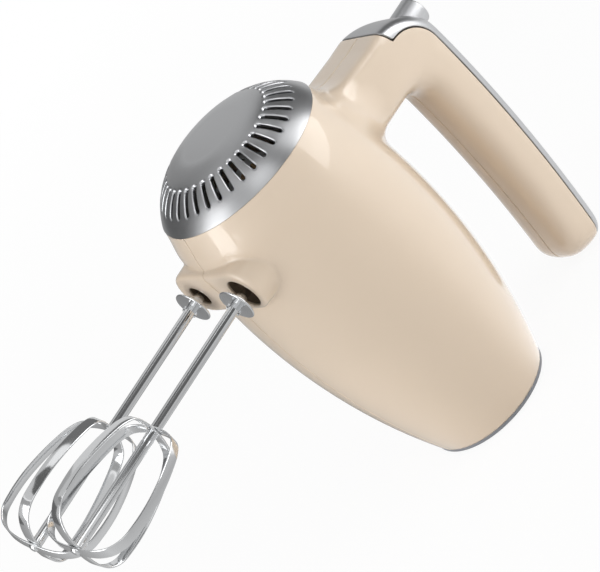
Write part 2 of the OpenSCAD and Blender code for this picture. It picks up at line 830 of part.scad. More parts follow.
// Worm wheel about the X axis, with a gap between two teeth facing +Y
module wheel_teeth_ring() {
    root_r = wheel_pitch_r - dedendum;
    for (k = [0 : wheel_teeth - 1]) rotate([(k + 0.5) * 360 / wheel_teeth, 0, 0]) rotate([0, -lead_angle, 0])
        rotate([0, 0, 90]) rotate([90, 0, 0]) linear_extrude(height = wheel_w / cos(lead_angle), center = true)
            let (
                low = half_thickness(-dedendum) * cos(lead_angle),
                high = half_thickness(addendum) * cos(lead_angle)
            )
            polygon([[root_r - 1, -low], [root_r, -low], [root_r + addendum + dedendum, -high],
                [root_r + addendum + dedendum, high], [root_r, low], [root_r - 1, low]]);
}

socket_r = tube_r + 0.1;
hub_x = [bush_x[0] - 2, frame_x + 1];

module worm_wheel(i) {
    side = i == 0 ? -1 : 1;
    translate([0, side * half_pitch, beater_z]) difference() {
        union() {
            rotate([0, 0, i == 0 ? 0 : 180]) intersection() {
                union() {
                    wheel_teeth_ring();
                    rotate([0, 90, 0]) cylinder(r = wheel_pitch_r - dedendum, h = wheel_w, center = true, $fn = 96);
                }
                rotate([0, 90, 0]) cylinder(r = wheel_pitch_r + addendum, h = wheel_w, center = true, $fn = 96);
            }
            translate([hub_x[0], 0, 0]) rotate([0, 90, 0]) cylinder(r = hub_r[i], h = hub_x[1] - hub_x[0]);
        }
        translate([hub_x[0] - 1, 0, 0]) rotate([0, 90, 0]) cylinder(r = socket_r, h = far);
        // slot in the mouth for the beater's drive ears
        translate([hub_x[0] - 1, -ear_r - 0.2, -ear_t / 2 - 0.2]) cube([7, 2 * ear_r + 0.4, ear_t + 0.4]);
    }
}

module left_worm_wheel() {
    color(nylon) worm_wheel(0);
}

module right_worm_wheel() {
    color(nylon) worm_wheel(1);
}

// ---------------------------------------------------------------- eject button, rod, yoke and spring

rod_r = 3;
rod_from_x = 24;
rod_bay_r = 7;
rod_flange_r = rod_bay_r - 0.6;
knob_end_x = back_top[0] + knob_out;
knob_in_x = knob_end_x - 23;
yoke_x = [21.5, 26.5];
pin_tip_x = -19;
shank_end_x = pin_tip_x - eject_travel - 0.3;

module eject_button() {
    color(silver) translate([knob_in_x, 0, knob_z]) rotate([0, 90, 0]) difference() {
        union() {
            cylinder(r = knob_r, h = knob_end_x - knob_in_x - 1);
            translate([0, 0, knob_end_x - knob_in_x - 1]) cylinder(r1 = knob_r, r2 = knob_r - 0.8, h = 1);
        }
        translate([0, 0, -1]) cylinder(r = rod_r + fit / 2, h = 7);
    }
}

module eject_rod() {
    color(nylon) {
        translate([yoke_x[1], 0, knob_z]) rotate([0, 90, 0]) cylinder(r = rod_r, h = knob_in_x + 5.9 - yoke_x[1]);
        translate([spring_x[1], 0, knob_z]) rotate([0, 90, 0]) cylinder(r = rod_flange_r, h = 2);
    }
}

module eject_yoke() {
    pin_r = 2.2;
    color(nylon) {
        translate([yoke_x[0], -half_pitch - 4, beater_z - 6]) cube([yoke_x[1] - yoke_x[0], beater_pitch + 8, 10]);
        for (s = [-1, 1]) translate([pin_tip_x, s * half_pitch, beater_z]) rotate([0, 90, 0])
            cylinder(r = pin_r, h = yoke_x[0] - pin_tip_x);
    }
}

// Round wire wound about the rod between the guide wall and the rod's flange
module eject_spring() {
    wire_r = 0.5;
    coil_r = 4.6;
    coils = 6;
    round_steps = 14;
    length = spring_x[1] - spring_x[0] - 2 * wire_r - 0.2;
    color(steel) translate([spring_x[0] + wire_r + 0.1, 0, knob_z]) skin([
        for (i = [0 : coils * round_steps])
            let (
                a = 360 * i / round_steps,
                x = length * i / (coils * round_steps)
            )
            [for (k = [0 : 5]) let (b = 60 * k)
                [x + wire_r * sin(b), (coil_r + wire_r * cos(b)) * cos(a), (coil_r + wire_r * cos(b)) * sin(a)]]
    ]);
}

// ---------------------------------------------------------------- speed control

slider_stem_w = 5;
slider_bay = 6;                   // depth of the slot behind the trim
slider_stem_h = 6;
slider_w = 12;
slider_h = 13;

module speed_slider() {
    x = back_x(slider_z);
    stem_x = board_x + board_t + switch_d + 0.5;
    color(silver) {
        translate([x + 0.3, -slider_w / 2, slider_z - slider_h / 2]) cube([1.2, slider_w, slider_h]);
        translate([stem_x, -slider_stem_w / 2, slider_z - slider_stem_h / 2])
            cube([x + 0.4 - stem_x, slider_stem_w, slider_stem_h]);
        translate([x + 1.6, 0, slider_z]) rotate([90, 0, 0])
            cylinder(r = 1.1, h = slider_w - 3, center = true, $fn = 32);
    }
}

board_x = grip_in_x + 6.5;
ledge = 20;
board_t = 1.6;
board_z = [slider_z - 60, slider_z + 15];
board_w = 24;
switch_d = 8;
switch_w = 14;
switch_h = 27;

module circuit_board() {
    color([0.15, 0.35, 0.2]) translate([board_x, -board_w / 2, board_z[0]])
        cube([board_t, board_w, board_z[1] - board_z[0]]);
}

module speed_switch() {
    color(dark) translate([board_x + board_t + 0.1, -switch_w / 2, slider_z - 12])
        cube([switch_d, switch_w, switch_h]);
}

// ---------------------------------------------------------------- beaters

ear_r = 4.2;
ear_t = 1.4;
rivet_r = 1.5;

loop_mid_x = tip_x - loop_low;
loop_power = 2.7;                 // between an ellipse and a rectangle
loop_steps = 72;

// Outline of a loop, taken in by inset: [along the axis, radius]
function loop_point(a, inset) = let (
    c = cos(a),
    s = sin(a),
    up = c > 0,
    reach = (up ? loop_len - loop_low : loop_low) - inset,
    p = 2 / loop_power
) [sign(c) * reach * pow(abs(c), p), sign(s) * (loop_r - inset) * pow(abs(s), p)];

module loop_strip(inset, turn) {
    angles = [for (k = [0 : loop_steps - 1]) (k + 0.5) * 360 / loop_steps];
    rotate([turn, 0, 0]) translate([-loop_mid_x, 0, 0]) difference() {
        linear_extrude(height = strip_w, center = true) difference() {
            polygon([for (a = angles) loop_point(a, inset)]);
            polygon([for (a = angles) loop_point(a, inset + strip_t)]);
        }
        rotate([0, 90, 0]) cylinder(r = tube_r + fit, h = 60, $fn = 48);
        rotate([0, -90, 0]) cylinder(r = rivet_r + fit, h = 60, $fn = 32);
    }
}

module place_beater(i) {
    translate([0, (i == 0 ? -1 : 1) * half_pitch, beater_z]) children();
}

module beater_tube(i) {
    low_x = -tip_x + 2 * strip_t + 0.3;
    color(steel) place_beater(i) {
        // tube from the blades up to the collar, and the shank that goes into the socket
        translate([low_x, 0, 0]) rotate([0, 90, 0]) cylinder(r = tube_r, h = shank_end_x - low_x - 1);
        translate([shank_end_x - 1, 0, 0]) rotate([0, 90, 0]) cylinder(r1 = tube_r, r2 = tube_r - 0.8, h = 1);
        // rivet through both loops, with its head outside
        translate([-tip_x - 0.1, 0, 0]) rotate([0, 90, 0]) cylinder(r = rivet_r, h = 3, $fn = 32);
        translate([-tip_x - 1.1, 0, 0]) rotate([0, 90, 0]) cylinder(r1 = 1.8, r2 = 2.6, h = 1, $fn = 32);
        // ears that the hub drives
        translate([hub_x[0] + 1, -ear_r, -ear_t / 2]) cube([4, 2 * ear_r, ear_t]);
        // pinched ears under the collar
        rotate([i == 0 ? 60 : 50, 0, 0]) translate([-disc_x - 4.6, -tube_r - 1.3, -0.5]) cube([3.3, 2 * tube_r + 2.6, 1]);
    }
}

module beater_collar(i) {
    color(steel) place_beater(i) translate([-disc_x - 0.6, 0, 0]) rotate([0, 90, 0]) difference() {
        cylinder(r = disc_r, h = 1.2, $fn = 96);
        translate([0, 0, -1]) cylinder(r = tube_r + fit, h = 4);
    }
}

module outer_blade(i) {
    color(steel) place_beater(i) loop_strip(0, i == 0 ? left_phase : right_phase);
}

module inner_blade(i) {
    color(steel) place_beater(i) loop_strip(strip_t + 2 * fit, 90 + (i == 0 ? left_phase : right_phase));
}

module left_beater_tube() { beater_tube(0); }
module left_beater_collar() { beater_collar(0); }
module left_outer_blade() { outer_blade(0); }
module left_inner_blade() { inner_blade(0); }
module right_beater_tube() { beater_tube(1); }
module right_beater_collar() { beater_collar(1); }
module right_outer_blade() { outer_blade(1); }
module right_inner_blade() { inner_blade(1); }

// ---------------------------------------------------------------- one line per node

left_housing();
right_housing();
vent_cap();
heel_pad();
handle_trim();
cord_gland();
housing_screws();
gearbox_frame();
front_bearing();
main_bearing();
rear_bearing();
left_socket_bush();
right_socket_bush();
stator_core();
field_coils();
motor_bridge();
motor_screws();
brush_holders();
carbon_brushes();
circuit_board();
speed_switch();
motor_shaft();
drive_worm();
armature_core();
armature_windings();
commutator();
cooling_fan();
left_worm_wheel();
right_worm_wheel();
eject_button();
eject_rod();
eject_yoke();
eject_spring();
speed_slider();
left_beater_tube();
left_beater_collar();
left_outer_blade();
left_inner_blade();
right_beater_tube();
right_beater_collar();
right_outer_blade();
right_inner_blade();
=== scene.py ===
import math
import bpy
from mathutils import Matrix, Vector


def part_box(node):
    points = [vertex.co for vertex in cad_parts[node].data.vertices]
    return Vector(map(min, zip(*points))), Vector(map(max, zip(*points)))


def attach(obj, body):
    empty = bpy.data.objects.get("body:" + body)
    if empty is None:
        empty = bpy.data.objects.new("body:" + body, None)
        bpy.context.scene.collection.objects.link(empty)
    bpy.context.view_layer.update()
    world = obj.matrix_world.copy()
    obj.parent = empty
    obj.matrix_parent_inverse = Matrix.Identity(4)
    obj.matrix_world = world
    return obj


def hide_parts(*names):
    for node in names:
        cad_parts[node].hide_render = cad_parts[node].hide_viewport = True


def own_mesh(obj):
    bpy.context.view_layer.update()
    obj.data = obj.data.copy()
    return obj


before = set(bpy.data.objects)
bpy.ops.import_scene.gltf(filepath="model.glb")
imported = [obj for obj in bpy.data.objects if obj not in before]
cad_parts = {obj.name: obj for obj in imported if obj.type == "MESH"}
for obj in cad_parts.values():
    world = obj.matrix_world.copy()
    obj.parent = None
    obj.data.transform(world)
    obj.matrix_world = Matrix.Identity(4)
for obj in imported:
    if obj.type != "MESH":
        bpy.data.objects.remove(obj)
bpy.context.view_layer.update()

from types import SimpleNamespace

import bpy
import numpy as np
from mathutils import Euler, Vector

bl_info = {
    "name": "Hand mixer",
    "version": (1, 0, 0),
    "blender": (4, 5, 0),
    "location": "View3D > Sidebar > Mixer",
    "description": "Makes a twin beater hand mixer round its packed frame",
    "category": "Object",
}

MM = 0.001                            # lengths are worked out in millimetres and Blender is in metres

# ------------------------------------------------------------------ places read from the frame


def low(node, axis):
    """Where a node of the frame starts along an axis."""
    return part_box(node)[0][axis] / MM


def high(node, axis):
    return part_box(node)[1][axis] / MM


def middle(node, axis):
    return (low(node, axis) + high(node, axis)) / 2


def half_width(node, axis):
    return (high(node, axis) - low(node, axis)) / 2


HEEL_TOP = high("heel_pad", 2)
CAP_TOP = high("vent_cap", 2)
CAP_SKIRT = 3.0                       # how far the cap reaches down inside the housing's rim
RIM_Z = low("vent_cap", 2) + CAP_SKIRT
KNOB_END = high("eject_button", 0)
KNOB_IN = low("eject_button", 0)
KNOB_Z = middle("eject_button", 2)
KNOB_R = half_width("eject_button", 2)
BEATER_Z = middle("left_beater_collar", 2)
BEATER_Y = {"left": middle("left_beater_collar", 1), "right": middle("right_beater_collar", 1)}
TIP_X = low("left_outer_blade", 0)
LOOP_TOP = high("left_outer_blade", 0)
COLLAR = (low("left_beater_collar", 0), high("left_beater_collar", 0))
COLLAR_R = half_width("left_beater_collar", 2)
BUSH_START = low("left_socket_bush", 0)
SHANK_END = high("left_beater_tube", 0)


# ------------------------------------------------------------------ sizes and colours


def length(name, text, value, **more):
    """A length in millimetres, kept in metres as Blender's units want it."""
    return bpy.props.FloatProperty(
        name=name, description=text, default=value * MM, unit="LENGTH", precision=5, **more)


def colour(name, text, value):
    return bpy.props.FloatVectorProperty(
        name=name, description=text, default=value, size=3, min=0, max=1, subtype="COLOR")


class MIXER_PG_shell(bpy.types.PropertyGroup):
    body_r: length("Housing radius", "Radius of the housing at its widest", 56.2)
    body_mid: length("Widest height", "Height of the housing's widest section", 118)
    body_arc: length("Side arc", "Radius of the long arc of the housing's side", 328)
    wall: length("Wall", "Thickness of the moulded shell as drawn", 1.6)
    column_w: length("Column half width", "Half width of the column across the housing", 19.5)
    grip_w: length("Grip half width", "Half width of the grip", 17.5)
    column_top: length("Column top", "Height of the column's top face at the housing", 171)
    column_under: length("Column underside", "Height of the column's underside", 134.7)
    corner_x: length("Corner centre", "Distance of the outer corner's centre from the axis", 90)
    corner_z: length("Corner height", "Height of the outer corner's centre", 143)
    corner_reach: length("Corner reach", "How far the outer corner reaches outwards", 32.8)
    corner_rise: length("Corner rise", "How far the outer corner reaches up", 26.8)
    gap_r: length("Finger gap corner", "Radius of the finger gap's corner", 12)
    grip_in: length("Grip inner face", "Distance of the grip's inner face from the axis", 91.5)
    back_arc: length("Back arc", "Radius of the long arc along the grip's back", 757)
    inner_arc: length("Inner arc", "Radius of the long arc along the grip's inner face", 700)
    end_z: length("Grip end", "Height of the grip's rounded end", 1.6)
    end_depth: length("End depth", "Length of the grip's rounded end", 14)
    nose_x: length("Nose face", "Distance of the nose's flat face from the axis", 57)
    nose_r: length("Nose radius", "Radius of the nose's lobes at the face", 13.4)
    nose_z: length("Nose height", "Height of the nose's middle", 156)
    nose_flare: length("Nose flare", "How much wider the nose is at its root", 1.4)
    nose_blend: length("Nose blend", "Radius between the nose and the housing", 1.0)
    brow: length("Brow", "How far the housing swells over the nose", 1.7)
    trim_depth: length("Trim depth", "How far the trim's edge lies in from the grip's back", 7.8)
    trim_arc: length("Trim arc", "Radius of the trim's edge round the corner", 20)
    seam: length("Seam", "Half width of the gap between two shell pieces", 0.3, soft_max=0.001)
    mesh_step: length("Mesh step", "Size of the cells that the shell's skin is made on", 1.25)


class MIXER_PG_cap(bpy.types.PropertyGroup):
    arc_r: length("Shoulder arc", "Radius of the cap's shoulder", 37.8)
    flat_r: length("Flat radius", "Distance of the shoulder arc's centre from the axis", 16.576)
    slots: bpy.props.IntProperty(
        name="Slots", description="Number of cooling slots", default=36, min=12, max=60)
    slot_w: length("Slot width", "Width of one cooling slot", 2.4)
    slot_in: length("Slot start", "Radius at the slots' inner ends", 31.8)
    slot_out: length("Slot end", "Radius at the slots' outer ends", 43.4)
    wall: length("Cap wall", "Thickness of the cap", 3.0)
    bevel: length("Slot bevel", "Width of the rounded edge of a slot", 0.6)


class MIXER_PG_beaters(bpy.types.PropertyGroup):
    tube_r: length("Tube radius", "Radius of the beater's tube", 2.7)
    loop_r: length("Loop radius", "Largest radius of the blade loops", 27.6)
    strip_w: length("Strip width", "Width of the blade strip", 6)
    strip_t: length("Strip thickness", "Thickness of the blade strip", 0.9)
    left_phase: bpy.props.FloatProperty(
        name="Left beater's angle", description="Rest angle of the left beater's outer blade",
        default=math.radians(14.8), subtype="ANGLE")


class MIXER_PG_colours(bpy.types.PropertyGroup):
    cream: colour("Shell", "Colour of the glossy plastic shell", (0.72, 0.59, 0.455))
    silver: colour("Silver", "Colour of the satin silver pieces", (0.47, 0.475, 0.485))
    chrome: colour("Chrome", "Colour of the polished beaters", (0.78, 0.79, 0.8))
    heel: colour("Heel", "Colour of the heel pad", (0.22, 0.23, 0.25))
    nylon: colour("Nylon", "Colour of the nylon gears", (0.8, 0.79, 0.74))
    black: colour("Black plastic", "Colour of the black pieces", (0.02, 0.02, 0.022))
    steel: colour("Steel", "Colour of the plain steel pieces", (0.5, 0.5, 0.51))
    bronze: colour("Bronze", "Colour of the bearing bushes", (0.42, 0.27, 0.13))
    copper: colour("Copper", "Colour of the windings", (0.72, 0.3, 0.12))
    board: colour("Board", "Colour of the circuit board", (0.03, 0.13, 0.06))
    # painted shade: the sockets' deep walls are coloured dark brown to stand in for the shade down inside
    # them
    liner: colour("Socket liner", "Colour of the deep walls of the sockets", (0.13, 0.09, 0.055))
    floor: colour("Floor", "Colour of the floor", (0.93, 0.93, 0.93))


def own_properties(held):
    """The names of what a property group holds, without Blender's own."""
    return [key for key in held.bl_rna.properties.keys() if key not in ("rna_type", "name")]


def sizes(group):
    """The lengths of a property group in millimetres, everything else as it is."""
    held = getattr(bpy.context.scene, group)
    found = {}
    for key in own_properties(held):
        value = getattr(held, key)
        found[key] = value / MM if held.bl_rna.properties[key].unit == "LENGTH" else value
    return SimpleNamespace(**found)


# ------------------------------------------------------------------ plain mesh tools


def mix(a, b, t):
    return a + (b - a) * t


def ease(t):
    """From 0 to 1 with a soft start and end."""
    t = np.clip(t, 0, 1)
    return t * t * (3 - 2 * t)


def smooth_min(a, b, k):
    """The lesser of two distances, blended where they differ by less than k."""
    h = np.maximum(k - np.abs(a - b), 0) / k
    return np.minimum(a, b) - h * h * k / 4


def smooth_max(a, b, k):
    return -smooth_min(-a, -b, k)


def plain_mesh(name, points, faces):
    """A mesh from points in millimetres."""
    mesh = bpy.data.meshes.new(name)
    places = (np.asarray(points, float) * MM).tolist()
    mesh.from_pydata(places, [], [tuple(int(i) for i in f) for f in faces])
    return mesh


def smooth(mesh, sharp):
    """Shades a mesh smooth, apart from edges that turn by more than an angle."""
    mesh.polygons.foreach_set("use_smooth", [True] * len(mesh.polygons))
    mesh.set_sharp_from_angle(angle=math.radians(sharp))


def new_object(name, points, faces, material, body, slot, replaces=(), normals=None, sharp=40.0):
    """A piece from points in millimetres, riding on a body of the frame."""
    mesh = plain_mesh(name, points, faces)
    mesh.validate()
    smooth(mesh, sharp)
    if normals is not None:
        mesh.normals_split_custom_set_from_vertices(np.asarray(normals, float).tolist())
    mesh.materials.append(material)
    mesh.update()
    return place(bpy.data.objects.new(name, mesh), body, slot, replaces)


def place(obj, body, slot, replaces=()):
    """Puts a piece in the scene on its body and hides the nodes that it stands for; the finish given as slot
    is not used.
    """
    bpy.context.scene.collection.objects.link(obj)
    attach(obj, body)
    if replaces:
        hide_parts(*replaces)
    return obj


def join(*parts):
    """Several (points, faces) as one."""
    points, faces, base = [], [], 0
    for p, f in parts:
        points.append(np.asarray(p, float))
        faces.extend([tuple(i + base for i in face) for face in f])
        base += len(p)
    return np.concatenate(points), faces


TURN = 2 * math.pi
AXES = {"x": [2, 0, 1], "y": [1, 2, 0], "z": [0, 1, 2]}     # order of columns that lays z along an axis


def lathe(profile, count=96, centre=(0, 0, 0), axis="x"):
    """Turns a closed profile of (radius, height) about an axis. Points with radius 0 become one pole."""
    points, faces, rings = [], [], []
    for r, h in profile:
        if r < 1e-6:
            rings.append([len(points)])
            points.append((0, 0, h))
        else:
            rings.append(list(range(len(points), len(points) + count)))
            points += [(r * math.cos(TURN * k / count), r * math.sin(TURN * k / count), h)
                       for k in range(count)]
    for a, b in zip(rings, rings[1:] + rings[:1]):
        for k in range(count):
            n = (k + 1) % count
            face = [a[k % len(a)], a[n % len(a)], b[n % len(b)], b[k % len(b)]]
            face = list(dict.fromkeys(face))
            if len(face) > 2:
                faces.append(face)
    return outward(np.array(points, float)[:, AXES[axis]] + np.array(centre, float), faces)


def outward(points, faces):
    """Turns the faces of a closed shell so that it holds a positive volume."""
    total = 0.0
    for f in faces:
        a = points[f[0]]
        for i in range(1, len(f) - 1):
            total += np.dot(a, np.cross(points[f[i]], points[f[i + 1]]))
    if total < 0:
        faces = [tuple(reversed(f)) for f in faces]
    return points, [tuple(f) for f in faces]


def rounded(points, radius, steps=5):
    """An open or closed profile of (x, y, optional radius) with its corners rounded."""
    out = []
    count = len(points)
    for i, p in enumerate(points):
        r = p[2] if len(p) > 2 else radius
        here = np.array(p[:2], float)
        if r <= 0:
            out.append(tuple(here))
            continue
        a = np.array(points[i - 1][:2], float) - here
        b = np.array(points[(i + 1) % count][:2], float) - here
        la, lb = np.linalg.norm(a), np.linalg.norm(b)
        a, b = a / la, b / lb
        if np.linalg.norm(a + b) < 1e-4:
            out.append(tuple(here))
            continue
        half = math.acos(max(-1, min(1, float(np.dot(a, b))))) / 2
        cut = min(r / math.tan(half), la * 0.49, lb * 0.49)
        r = cut * math.tan(half)
        centre = here + (a + b) / np.linalg.norm(a + b) * (r / math.sin(half))
        start, stop = here + a * cut - centre, here + b * cut - centre
        turn = math.atan2(start[0] * stop[1] - start[1] * stop[0], float(np.dot(start, stop)))
        for k in range(steps + 1):
            t = turn * k / steps
            c, s = math.cos(t), math.sin(t)
            out.append((centre[0] + start[0] * c - start[1] * s, centre[1] + start[0] * s + start[1] * c))
    return out


def closed_curve(points, steps):
    """A smooth closed line through points, evened out by the distances between them."""
    out, count = [], len(points)
    for i in range(count):
        p = [points[(i + k) % count] for k in (-1, 0, 1, 2)]
        knots = [0.0]
        for a, b in zip(p, p[1:]):
            knots.append(knots[-1] + math.sqrt(np.linalg.norm(b - a)))
        for t in np.linspace(knots[1], knots[2], steps, endpoint=False):
            level = p
            for reach, at in ((1, knots), (2, knots), (1, knots[1:3])):
                level = [(a * (at[k + reach] - t) + b * (t - at[k])) / (at[k + reach] - at[k])
                         for k, (a, b) in enumerate(zip(level, level[1:]))]
            out.append(level[0])
    return np.array(out)


def bands(rows, count, closed=False):
    """Faces between rings of count points each, and from the last ring to the first if closed."""
    return [(i * count + k, i * count + (k + 1) % count,
             (i + 1) % rows * count + (k + 1) % count, (i + 1) % rows * count + k)
            for i in range(rows if closed else rows - 1) for k in range(count)]


def end_faces(rows, count):
    """The two faces that close the first and the last of some rings."""
    return [tuple(reversed(range(count))), tuple(range((rows - 1) * count, rows * count))]


def rectangle(width, depth, radius, steps):
    """Outline of a rectangle about 0 with round corners."""
    x, y = width / 2, depth / 2
    return rounded([(-x, -y), (x, -y), (x, y), (-x, y)], radius, steps)


def pad(width, depth, height, radius, bevel, steps=6):
    """A cushion-edged block, its base at 0: (points, faces) with width along x and depth along y."""
    outline = rectangle(width, depth, radius, steps)
    levels = [(0.0, 0.0)]
    for k in range(steps + 1):
        a = math.pi / 2 * k / steps
        levels.append((bevel * (1 - math.cos(a)), height - bevel + bevel * math.sin(a)))
    points = [(x * (1 - inset / (width / 2)), y * (1 - inset / (depth / 2)), z)
              for inset, z in levels for x, y in outline]
    size = len(levels), len(outline)
    return outward(np.array(points, float), bands(*size) + end_faces(*size))


# ------------------------------------------------------------------ the shell's skin as a distance field


HANDLE_VIEW = (14, -14), (132, 192)   # corners of the side view's part that holds column and grip, as (x, z)
TRIM_VIEW = (78, -14), (132, 192)     # the same for the trim
TRIM_START = 79                       # further in than this there is no trim
LINE_END = -30                        # lines along the grip run on below its end
LINE_STEPS = 40


class Outline:
    """Signed distance to a line in the side view, kept on a fine grid: negative on the line's left."""

    def __init__(self, points, low, high, step=0.75):
        line = np.array(points, float)
        self.low, self.step = np.array(low, float), step
        nx, nz = [int(math.ceil((high[i] - low[i]) / step)) + 2 for i in (0, 1)]
        best = np.full((nx, nz), 1e9)
        side = np.ones((nx, nz))
        gx, gz = np.meshgrid(low[0] + step * np.arange(nx), low[1] + step * np.arange(nz), indexing="ij")
        for p, q in zip(line, line[1:]):
            d = q - p
            t = np.clip(((gx - p[0]) * d[0] + (gz - p[1]) * d[1]) / np.dot(d, d), 0, 1)
            ex, ez = gx - p[0] - t * d[0], gz - p[1] - t * d[1]
            r = ex * ex + ez * ez
            turn = d[0] * ez - d[1] * ex
            side = np.where(r < best - 1e-9, np.where(turn > 0, -1.0, 1.0), side)
            best = np.minimum(best, r)
        self.grid = np.sqrt(best) * side

    def __call__(self, x, z):
        u = np.clip((x - self.low[0]) / self.step, 0, self.grid.shape[0] - 1.001)
        v = np.clip((z - self.low[1]) / self.step, 0, self.grid.shape[1] - 1.001)
        i, j = u.astype(int), v.astype(int)
        u, v = u - i, v - j
        g = self.grid
        return (g[i, j] * (1 - u) * (1 - v) + g[i + 1, j] * u * (1 - v)
                + g[i, j + 1] * (1 - u) * v + g[i + 1, j + 1] * u * v)


def arc_x(reach, arc_r, centre_z, z):
    """A point of a long upright arc whose furthest point is at reach."""
    return reach - arc_r + np.sqrt(arc_r ** 2 - (centre_z - z) ** 2)


class Skin:
    """The outer surface of housing, column, grip and nose, blended as one moulding."""

    TOP_FALL = 0.055                  # how much the column's top falls per length outwards
    CORNER_POWER = 1.1236             # how square the outer corner is, 1 for an ellipse
    BROW_Z, BROW_HALF = 171.5, 9      # height of the swelling over the nose, and how far it spreads
    COLUMN_POWERS = 3.3, 8.0          # how square the column's section is below and on top, 2 for an ellipse
    GRIP_POWER = 2.9
    END_POWERS = 2.3, 1.2             # how square the grip's end is inside, and how much more so at its back
    LOBE_Y = 20                       # where the middle of each of the nose's lobes lies
    FACE_ROUND = 2.6                  # radius of the edge round the nose's face
    HANDLE_ROOT, NOSE_ROOT = 24, -30  # x inside the body where column and nose start
    ROOT_BLEND = 9.0, 13.0, 8.0       # radius between column and body below, on top, and what the sides add

    def __init__(self, s):
        self.s = s
        reach = s.corner_x + s.corner_reach
        top = [(x, s.column_top - self.TOP_FALL * (x - s.body_r)) for x in (10, s.corner_x - 8)]
        corner = [(s.corner_x + s.corner_reach * math.cos(a) ** self.CORNER_POWER,
                   s.corner_z + s.corner_rise * math.sin(a) ** self.CORNER_POWER)
                  for a in np.linspace(math.pi / 2 - 0.06, 0.0, LINE_STEPS)]
        back = [(arc_x(reach, s.back_arc, s.corner_z, z), z)
                for z in np.linspace(s.corner_z - 4, LINE_END, LINE_STEPS)]
        self.outer = Outline(top + corner + back, *HANDLE_VIEW)
        turn = self.turn = (s.grip_in - s.gap_r, s.column_under - s.gap_r)
        inner = [(turn[0] + s.gap_r * math.cos(a), turn[1] + s.gap_r * math.sin(a))
                 for a in np.linspace(math.pi / 2, 0, 14)]
        face = [(arc_x(s.grip_in, s.inner_arc, turn[1], z), z)
                for z in np.linspace(turn[1] - 4, LINE_END, LINE_STEPS)]
        self.inner = Outline(([(10, s.column_under)] + inner + face)[::-1], *HANDLE_VIEW)

    def body(self, x, y, z):
        s = self.s
        rho = np.hypot(x, y)
        d = np.hypot(rho - (s.body_r - s.body_arc), z - s.body_mid) - s.body_arc
        return d - s.brow * ease((-x - 24) / 20) * np.exp(-((z - self.BROW_Z) / self.BROW_HALF) ** 2)

    def handle(self, x, y, z):
        s = self.s
        # across the handle: u runs from -1 at the inner line to 1 at the outer one, v from 0 to 1 sideways
        di, do = self.inner(x, z), self.outer(x, z)
        half = np.maximum((di + do) / 2, 4)
        u = (di - do) / (2 * half)
        # along it: t is 0 in the column and 1 in the grip
        angle = np.arctan2(z - self.turn[1], x - self.turn[0])
        beside = np.where(z < self.turn[1], 1.0, 1 - angle / (math.pi / 2))
        t = ease(np.where(x < self.turn[0], (self.turn[1] - 20 - z) / 30, beside))
        w = mix(s.column_w, s.grip_w, t)
        under, over = self.COLUMN_POWERS
        p = np.where(u < 0, mix(under, self.GRIP_POWER, t),
                     mix(over, self.GRIP_POWER, np.minimum(1, 1.3 * t)))
        v = np.abs(y) / w
        a, b = np.abs(u) + 1e-6, v + 1e-6
        n = (a ** p + b ** p) ** (1 / p)
        nu, nv = (a / n) ** (p - 1) / half, (b / n) ** (p - 1) / w
        # the grip's rounded end, and the whole as a distance
        e = np.maximum(s.end_z + s.end_depth - 0.8 * np.clip(u, -1, 1) - z, 0) / s.end_depth + 1e-6
        q = self.END_POWERS[0] + self.END_POWERS[1] * ease((u + 0.6) / 1.2)
        m = (n ** q + e ** q) ** (1 / q)
        across = ((n / m) ** (q - 1)) ** 2 * (nu ** 2 + nv ** 2)
        slope = np.sqrt(across + ((e / m) ** (q - 1) / s.end_depth) ** 2)
        return np.maximum((m - 1) / slope, self.HANDLE_ROOT - x)

    def nose(self, x, y, z):
        s = self.s
        t = np.clip((s.nose_x - 1.2 + x) / 22, 0, 1.6)
        beside = np.maximum(np.abs(y) - self.LOBE_Y, 0)
        lower = 1 - (z - s.nose_z) / np.maximum(np.hypot(beside, z - s.nose_z), 1)
        waist = 0.4 * np.clip(1 - (y / self.LOBE_Y) ** 2, 0, 1) ** 2
        r = s.nose_r + s.nose_flare * lower * t ** 1.5 - waist
        side = (np.hypot(beside, z - s.nose_z) - r) * 0.93       # less than 1 because the side flares
        return np.maximum(smooth_max(side, -x - s.nose_x, self.FACE_ROUND), x - self.NOSE_ROOT)

    def __call__(self, p):
        x, y, z = p[..., 0], p[..., 1], p[..., 2]
        below, on_top, beside = self.ROOT_BLEND
        k = mix(below, on_top, ease((z - 140) / 24)) + beside * ease(1 - np.abs(z - 153) / 22)
        d = smooth_min(self.body(x, y, z), self.handle(x, y, z), k)
        return smooth_min(d, self.nose(x, y, z), self.s.nose_blend)


def gradient(f, p, h=0.375):
    """Slope of a distance at points, over a step of h each way."""
    out = np.empty_like(p)
    for axis, d in enumerate(np.eye(3) * h):
        out[:, axis] = (f(p + d) - f(p - d)) / (2 * h)
    return out


def skin_normals(f, p, h=0.375):
    g = gradient(f, p, h)
    return g / np.linalg.norm(g, axis=1)[:, None]


def three_edges(faces):
    return np.concatenate([faces[:, [0, 1]], faces[:, [1, 2]], faces[:, [2, 0]]])


def open_edges(faces, count):
    """The edges that only one of the triangles on count points has."""
    edges = three_edges(faces)
    key = edges[:, 0].astype(np.int64) * count + edges[:, 1]
    back = edges[:, 1].astype(np.int64) * count + edges[:, 0]
    return edges[~np.isin(key, back)]


def with_back(outer, inner, faces, border):
    """Points and faces of a skin with a wall behind it, closed along the border's edges."""
    count = len(outer)
    near, far = border[:, 0], border[:, 1]
    walls = [np.stack([far, near, near + count], 1), np.stack([far, near + count, far + count], 1)]
    return np.concatenate([outer, inner]), np.concatenate([faces, faces[:, ::-1] + count, *walls])


def used_only(points, faces):
    """Which points the faces use, and the faces with those points numbered anew."""
    used = np.unique(faces)
    renumber = np.full(len(points), -1)
    renumber[used] = np.arange(len(used))
    return used, renumber[faces]


